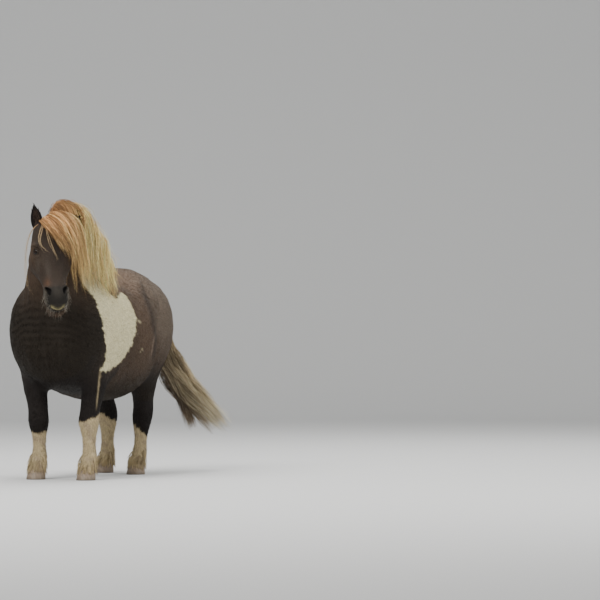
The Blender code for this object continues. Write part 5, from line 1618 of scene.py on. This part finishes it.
def grow_whiskers(hide, hair):
    """Hairs on chin and lips, lashes over the eyes and hair inside the ears."""
    rng = np.random.RandomState(71)
    axes = np.array(head_axes())
    turn = axes[:3, :3]
    made = []
    local = to_head(hide.middle)
    here = near_head(hide.middle)
    chin = here * ease(0.360, 0.385, local[:, 2]) * (local[:, 1] < 0.016) * (np.abs(local[:, 0]) < 0.045)
    chin = chin + 0.8 * here * bell(np.abs(local[:, 0]) - 0.052, 0.008) * ease(0.335, 0.350, local[:, 2])
    spots, normals, maps = hide.sample(230, chin * bare(hide.middle), rng)
    way = unit(normals * 0.8 + turn @ np.array((0, -0.25, 0.9)) + rng.normal(size=normals.shape) * 0.15)
    size = (0.008 + 0.030 * rng.uniform(size=len(spots))**2)[:, None, None]
    share = np.linspace(0, 1, 6)[None, :, None]
    paths = spots[:, None] - normals[:, None] * 0.002 + way[:, None] * size * share
    paths[:, :, 2] -= (size * 0.35 * share**2)[:, :, 0]
    made += strands("whiskers", hide, paths, np.full(len(paths), 0.00028), toned(len(paths), 6, (WHISKER, WHISKER), rng), rng,
                    hair, turn[:, 0], 0.9, maps)
    under = here * ease(0.345, 0.385, local[:, 2]) * (local[:, 1] < -0.012) * (np.abs(local[:, 0]) < 0.040)
    spots, normals, maps = hide.sample(420, under * bare(hide.middle), rng)
    way = unit(normals * 0.45 + np.array((0, -0.1, -1.0)) + rng.normal(size=normals.shape) * 0.16)
    size = rng.uniform(0.012, 0.034, len(spots))[:, None, None]
    paths = spots[:, None] - normals[:, None] * 0.002 + way[:, None] * size * share
    beard = toned(len(paths), 6, (CHEST, CHOCOLATE, LIT_RUDDY), rng, 0.3)
    made += strands("beard", hide, paths, np.full(len(paths), 0.0005), beard, rng, hair, turn[:, 0], 0.9, maps)
    lashes = []
    for side in SIDES.values():
        eye = np.array(eye_frame(side))
        for i in range(26):
            u = rng.uniform(-0.75, 0.85)
            tall = LID_HALF_HEIGHT * (1 - u * u) ** 0.8 + 0.0015
            place = np.array((u * LID_HALF_LENGTH, tall, math.sqrt(max(0, EYE_RADIUS**2 - (u * LID_HALF_LENGTH)**2 - tall**2)) + 0.0002))
            fall = np.array((0.25 * u, 0.10 - 0.25 * rng.uniform(), 1.0))
            points = [eye[:3, 3] + eye[:3, :3] @ (place + fall * s + np.array((0, -0.25 * s * s / 0.012, 0))) for s in
                      np.linspace(-0.001, rng.uniform(0.007, 0.011), 6)]
            lashes.append(points)
    lashes = np.array(lashes)
    made += strands("lashes", hide, lashes, np.full(len(lashes), 0.0003), toned(len(lashes), 6, (EAR_DARK, EAR_DARK), rng), rng,
                    hair, turn[:, 0], 0.9)
    inner = []
    for name in SIDES:
        root, tip, cup = EARS[name]
        tip = tip.normalized()
        cup = (cup - tip * cup.dot(tip)).normalized()
        wide = cup.cross(tip)
        for i in range(170):
            t = rng.uniform(0.08, 0.72)
            half = float(np.interp(t, [r[0] for r in EAR], [r[1] for r in EAR]))
            s = rng.uniform(-0.8, 0.8)
            back = float(np.interp(t, [r[0] for r in EAR], [r[2] for r in EAR]))
            front = float(np.interp(t, [r[0] for r in EAR], [r[3] for r in EAR]))
            spot = root + tip * (t * EAR_LENGTH) + cup * (0.012 * t * t) + wide * (half * s * 0.97) + cup * (front * (1 - s * s) + 0.0010)
            fall = (tip * 0.8 + cup * 0.35 - wide * (0.55 * s)).normalized()
            size = rng.uniform(0.014, 0.028)
            inner.append([placed(head_axes(), spot + fall * (size * k)) for k in np.linspace(0, 1, 6)])
    inner = np.array([[tuple(p) for p in row] for row in inner])
    made += strands("ear_hair", hide, inner, np.full(len(inner), 0.00055), toned(len(inner), 6, ((0.02, 0.014, 0.012), (0.09, 0.06, 0.045)), rng), rng,
                    hair, turn[:, 1], 0.6)
    return made


def studio(shift):
    """A plain pale floor and backdrop, soft light and the photo's camera."""
    ground = plain_material("studio", (0.62, 0.63, 0.64), 0.9)
    sweep = [(-30.0, 0.0), (9.0, 0.0)]
    sweep += [(9.0 + 3.0 * math.sin(a), 3.0 - 3.0 * math.cos(a)) for a in np.linspace(0.1, math.pi / 2, 14)]
    sweep.append((12.0, 14.0))
    back = np.array((-math.sin(YAW), math.cos(YAW)))
    right = np.array((math.cos(YAW), math.sin(YAW)))
    points = []
    for far, high in sweep:
        for wide in (-22.0, 22.0):
            x, y = back * far + right * wide
            points.append((x + shift[0], y + shift[1], high))
    faces = [(2 * i, 2 * i + 1, 2 * i + 3, 2 * i + 2) for i in range(len(sweep) - 1)]
    mesh = bpy.data.meshes.new("studio_floor")
    mesh.from_pydata(points, [], faces)
    floor = bpy.data.objects.new("studio_floor", mesh)
    bpy.context.scene.collection.objects.link(floor)
    smooth_faces(floor)
    dressed(floor, ground)

    world = bpy.data.worlds.new("studio_light")
    bpy.context.scene.world = world
    world.use_nodes = True
    sky = world.node_tree.nodes["Background"]
    sky.inputs["Color"].default_value = (1.0, 0.99, 0.96, 1)
    sky.inputs["Strength"].default_value = WORLD_LIGHT
    for name, place, size, power, colour in LIGHTS:
        data = bpy.data.lights.new(name, "AREA")
        data.shape = "DISK"
        data.size = size
        data.energy = power
        data.color = colour
        lamp = bpy.data.objects.new(name, data)
        x, y, z = place
        spot = back * y + right * x
        lamp.location = Vector((spot[0] + shift[0], spot[1] + shift[1], z))
        aim = Vector((shift[0], shift[1], 0.7)) - lamp.location
        lamp.rotation_euler = aim.to_track_quat("-Z", "Y").to_euler()
        bpy.context.scene.collection.objects.link(lamp)

    data = bpy.data.cameras.new("photo_view")
    data.lens = LENS
    data.sensor_width = 36
    camera = bpy.data.objects.new("photo_view", data)
    place = Vector((math.sin(YAW) * DISTANCE, -math.cos(YAW) * DISTANCE, CAMERA_HEIGHT))
    aim = Vector((math.cos(YAW) * AIM_ASIDE, math.sin(YAW) * AIM_ASIDE, AIM_HEIGHT))
    camera.location = place + Vector(shift)
    camera.rotation_euler = (aim - place).to_track_quat("-Z", "Y").to_euler()
    bpy.context.scene.collection.objects.link(camera)
    bpy.context.scene.camera = camera


YAW = math.radians(24.0)
DISTANCE = 16.0
LENS = 198.0
CAMERA_HEIGHT = 0.75
AIM_HEIGHT = 0.855
AIM_ASIDE = 1.02
WORLD_LIGHT = 0.70
# Lamps: name, place as right, back and up of the view, size, power and colour.
LIGHTS = [
    ("key", (-3.2, -4.2, 5.5), 3.5, 440.0, (1.0, 0.97, 0.93)),
    ("fill", (4.5, -3.0, 3.0), 4.0, 140.0, (1.0, 0.99, 0.96)),
    ("rim", (2.5, 4.0, 5.0), 3.0, 150.0, (1.0, 0.99, 0.96)),
    ("top", (0.4, 0.4, 5.5), 4.0, 170.0, (1.0, 0.98, 0.94)),
]


# How dark the skin is beside the hair that grows on it.
SKIN_SHADE = 0.74


def main():
    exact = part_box("hoof_fore_left")
    mine = points_of(hoof("measure", foot_place(FORE_LEG, 1, 0.0)))
    bpy.data.objects.remove(bpy.data.objects["measure"])
    centre = (np.array(exact[0]) + np.array(exact[1])) / 2
    shift = centre - (mine.min(0) + mine.max(0)) / 2
    shift[2] = 0.0

    hide_look = coat_material("coat_skin", 0.70, 0.34, 0.60)
    hair_look = coat_material("coat_hair", 0.62, 0.10)
    eye_look = hue_material("eye_glass", 0.10, 0.22)
    horn_look = hue_material("horn", 0.55)

    skin = make_skin()
    smooth_faces(skin)
    dressed(skin, hide_look)
    paint(skin, coat_colour(points_of(skin)) * SKIN_SHADE)
    unwrap(skin)
    hide = Hide(skin)
    groups = {
        "coat": grow_coat(hide, hair_look),
        "mane": grow_mane(hide, hair_look) + grow_forelock(hide, hair_look),
        "tail": grow_tail(hide, hair_look),
        "other": grow_feet(hide, hair_look) + grow_whiskers(hide, hair_look),
    }
    for name, side in SIDES.items():
        eye = dressed(fine_eye("pony_eye_" + name, side), eye_look)
        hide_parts("eye_" + name)
        groups.setdefault("eyes", []).append(eye)
        for which, middle in (("fore", foot_place(FORE_LEG, side, 0.0)), ("hind", foot_place(HIND_LEG, side, HIND_SWING[name]))):
            horn = dressed(fine_hoof("pony_hoof_%s_%s" % (which, name), middle), horn_look)
            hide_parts("hoof_%s_%s" % (which, name))
            groups.setdefault("hooves", []).append(horn)
    flesh_nodes = ["torso", "neck", "head", "ear_left", "ear_right"]
    flesh_nodes += ["leg_%s_%s" % (a, b) for a in ("fore", "hind") for b in SIDES]
    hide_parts(*flesh_nodes)
    for piece in groups["tail"]:
        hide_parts("tail")
    for piece in [skin] + [p for key in groups for p in groups[key]]:
        moved(piece, shift)
        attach(piece, "root")
    studio(shift)


main()
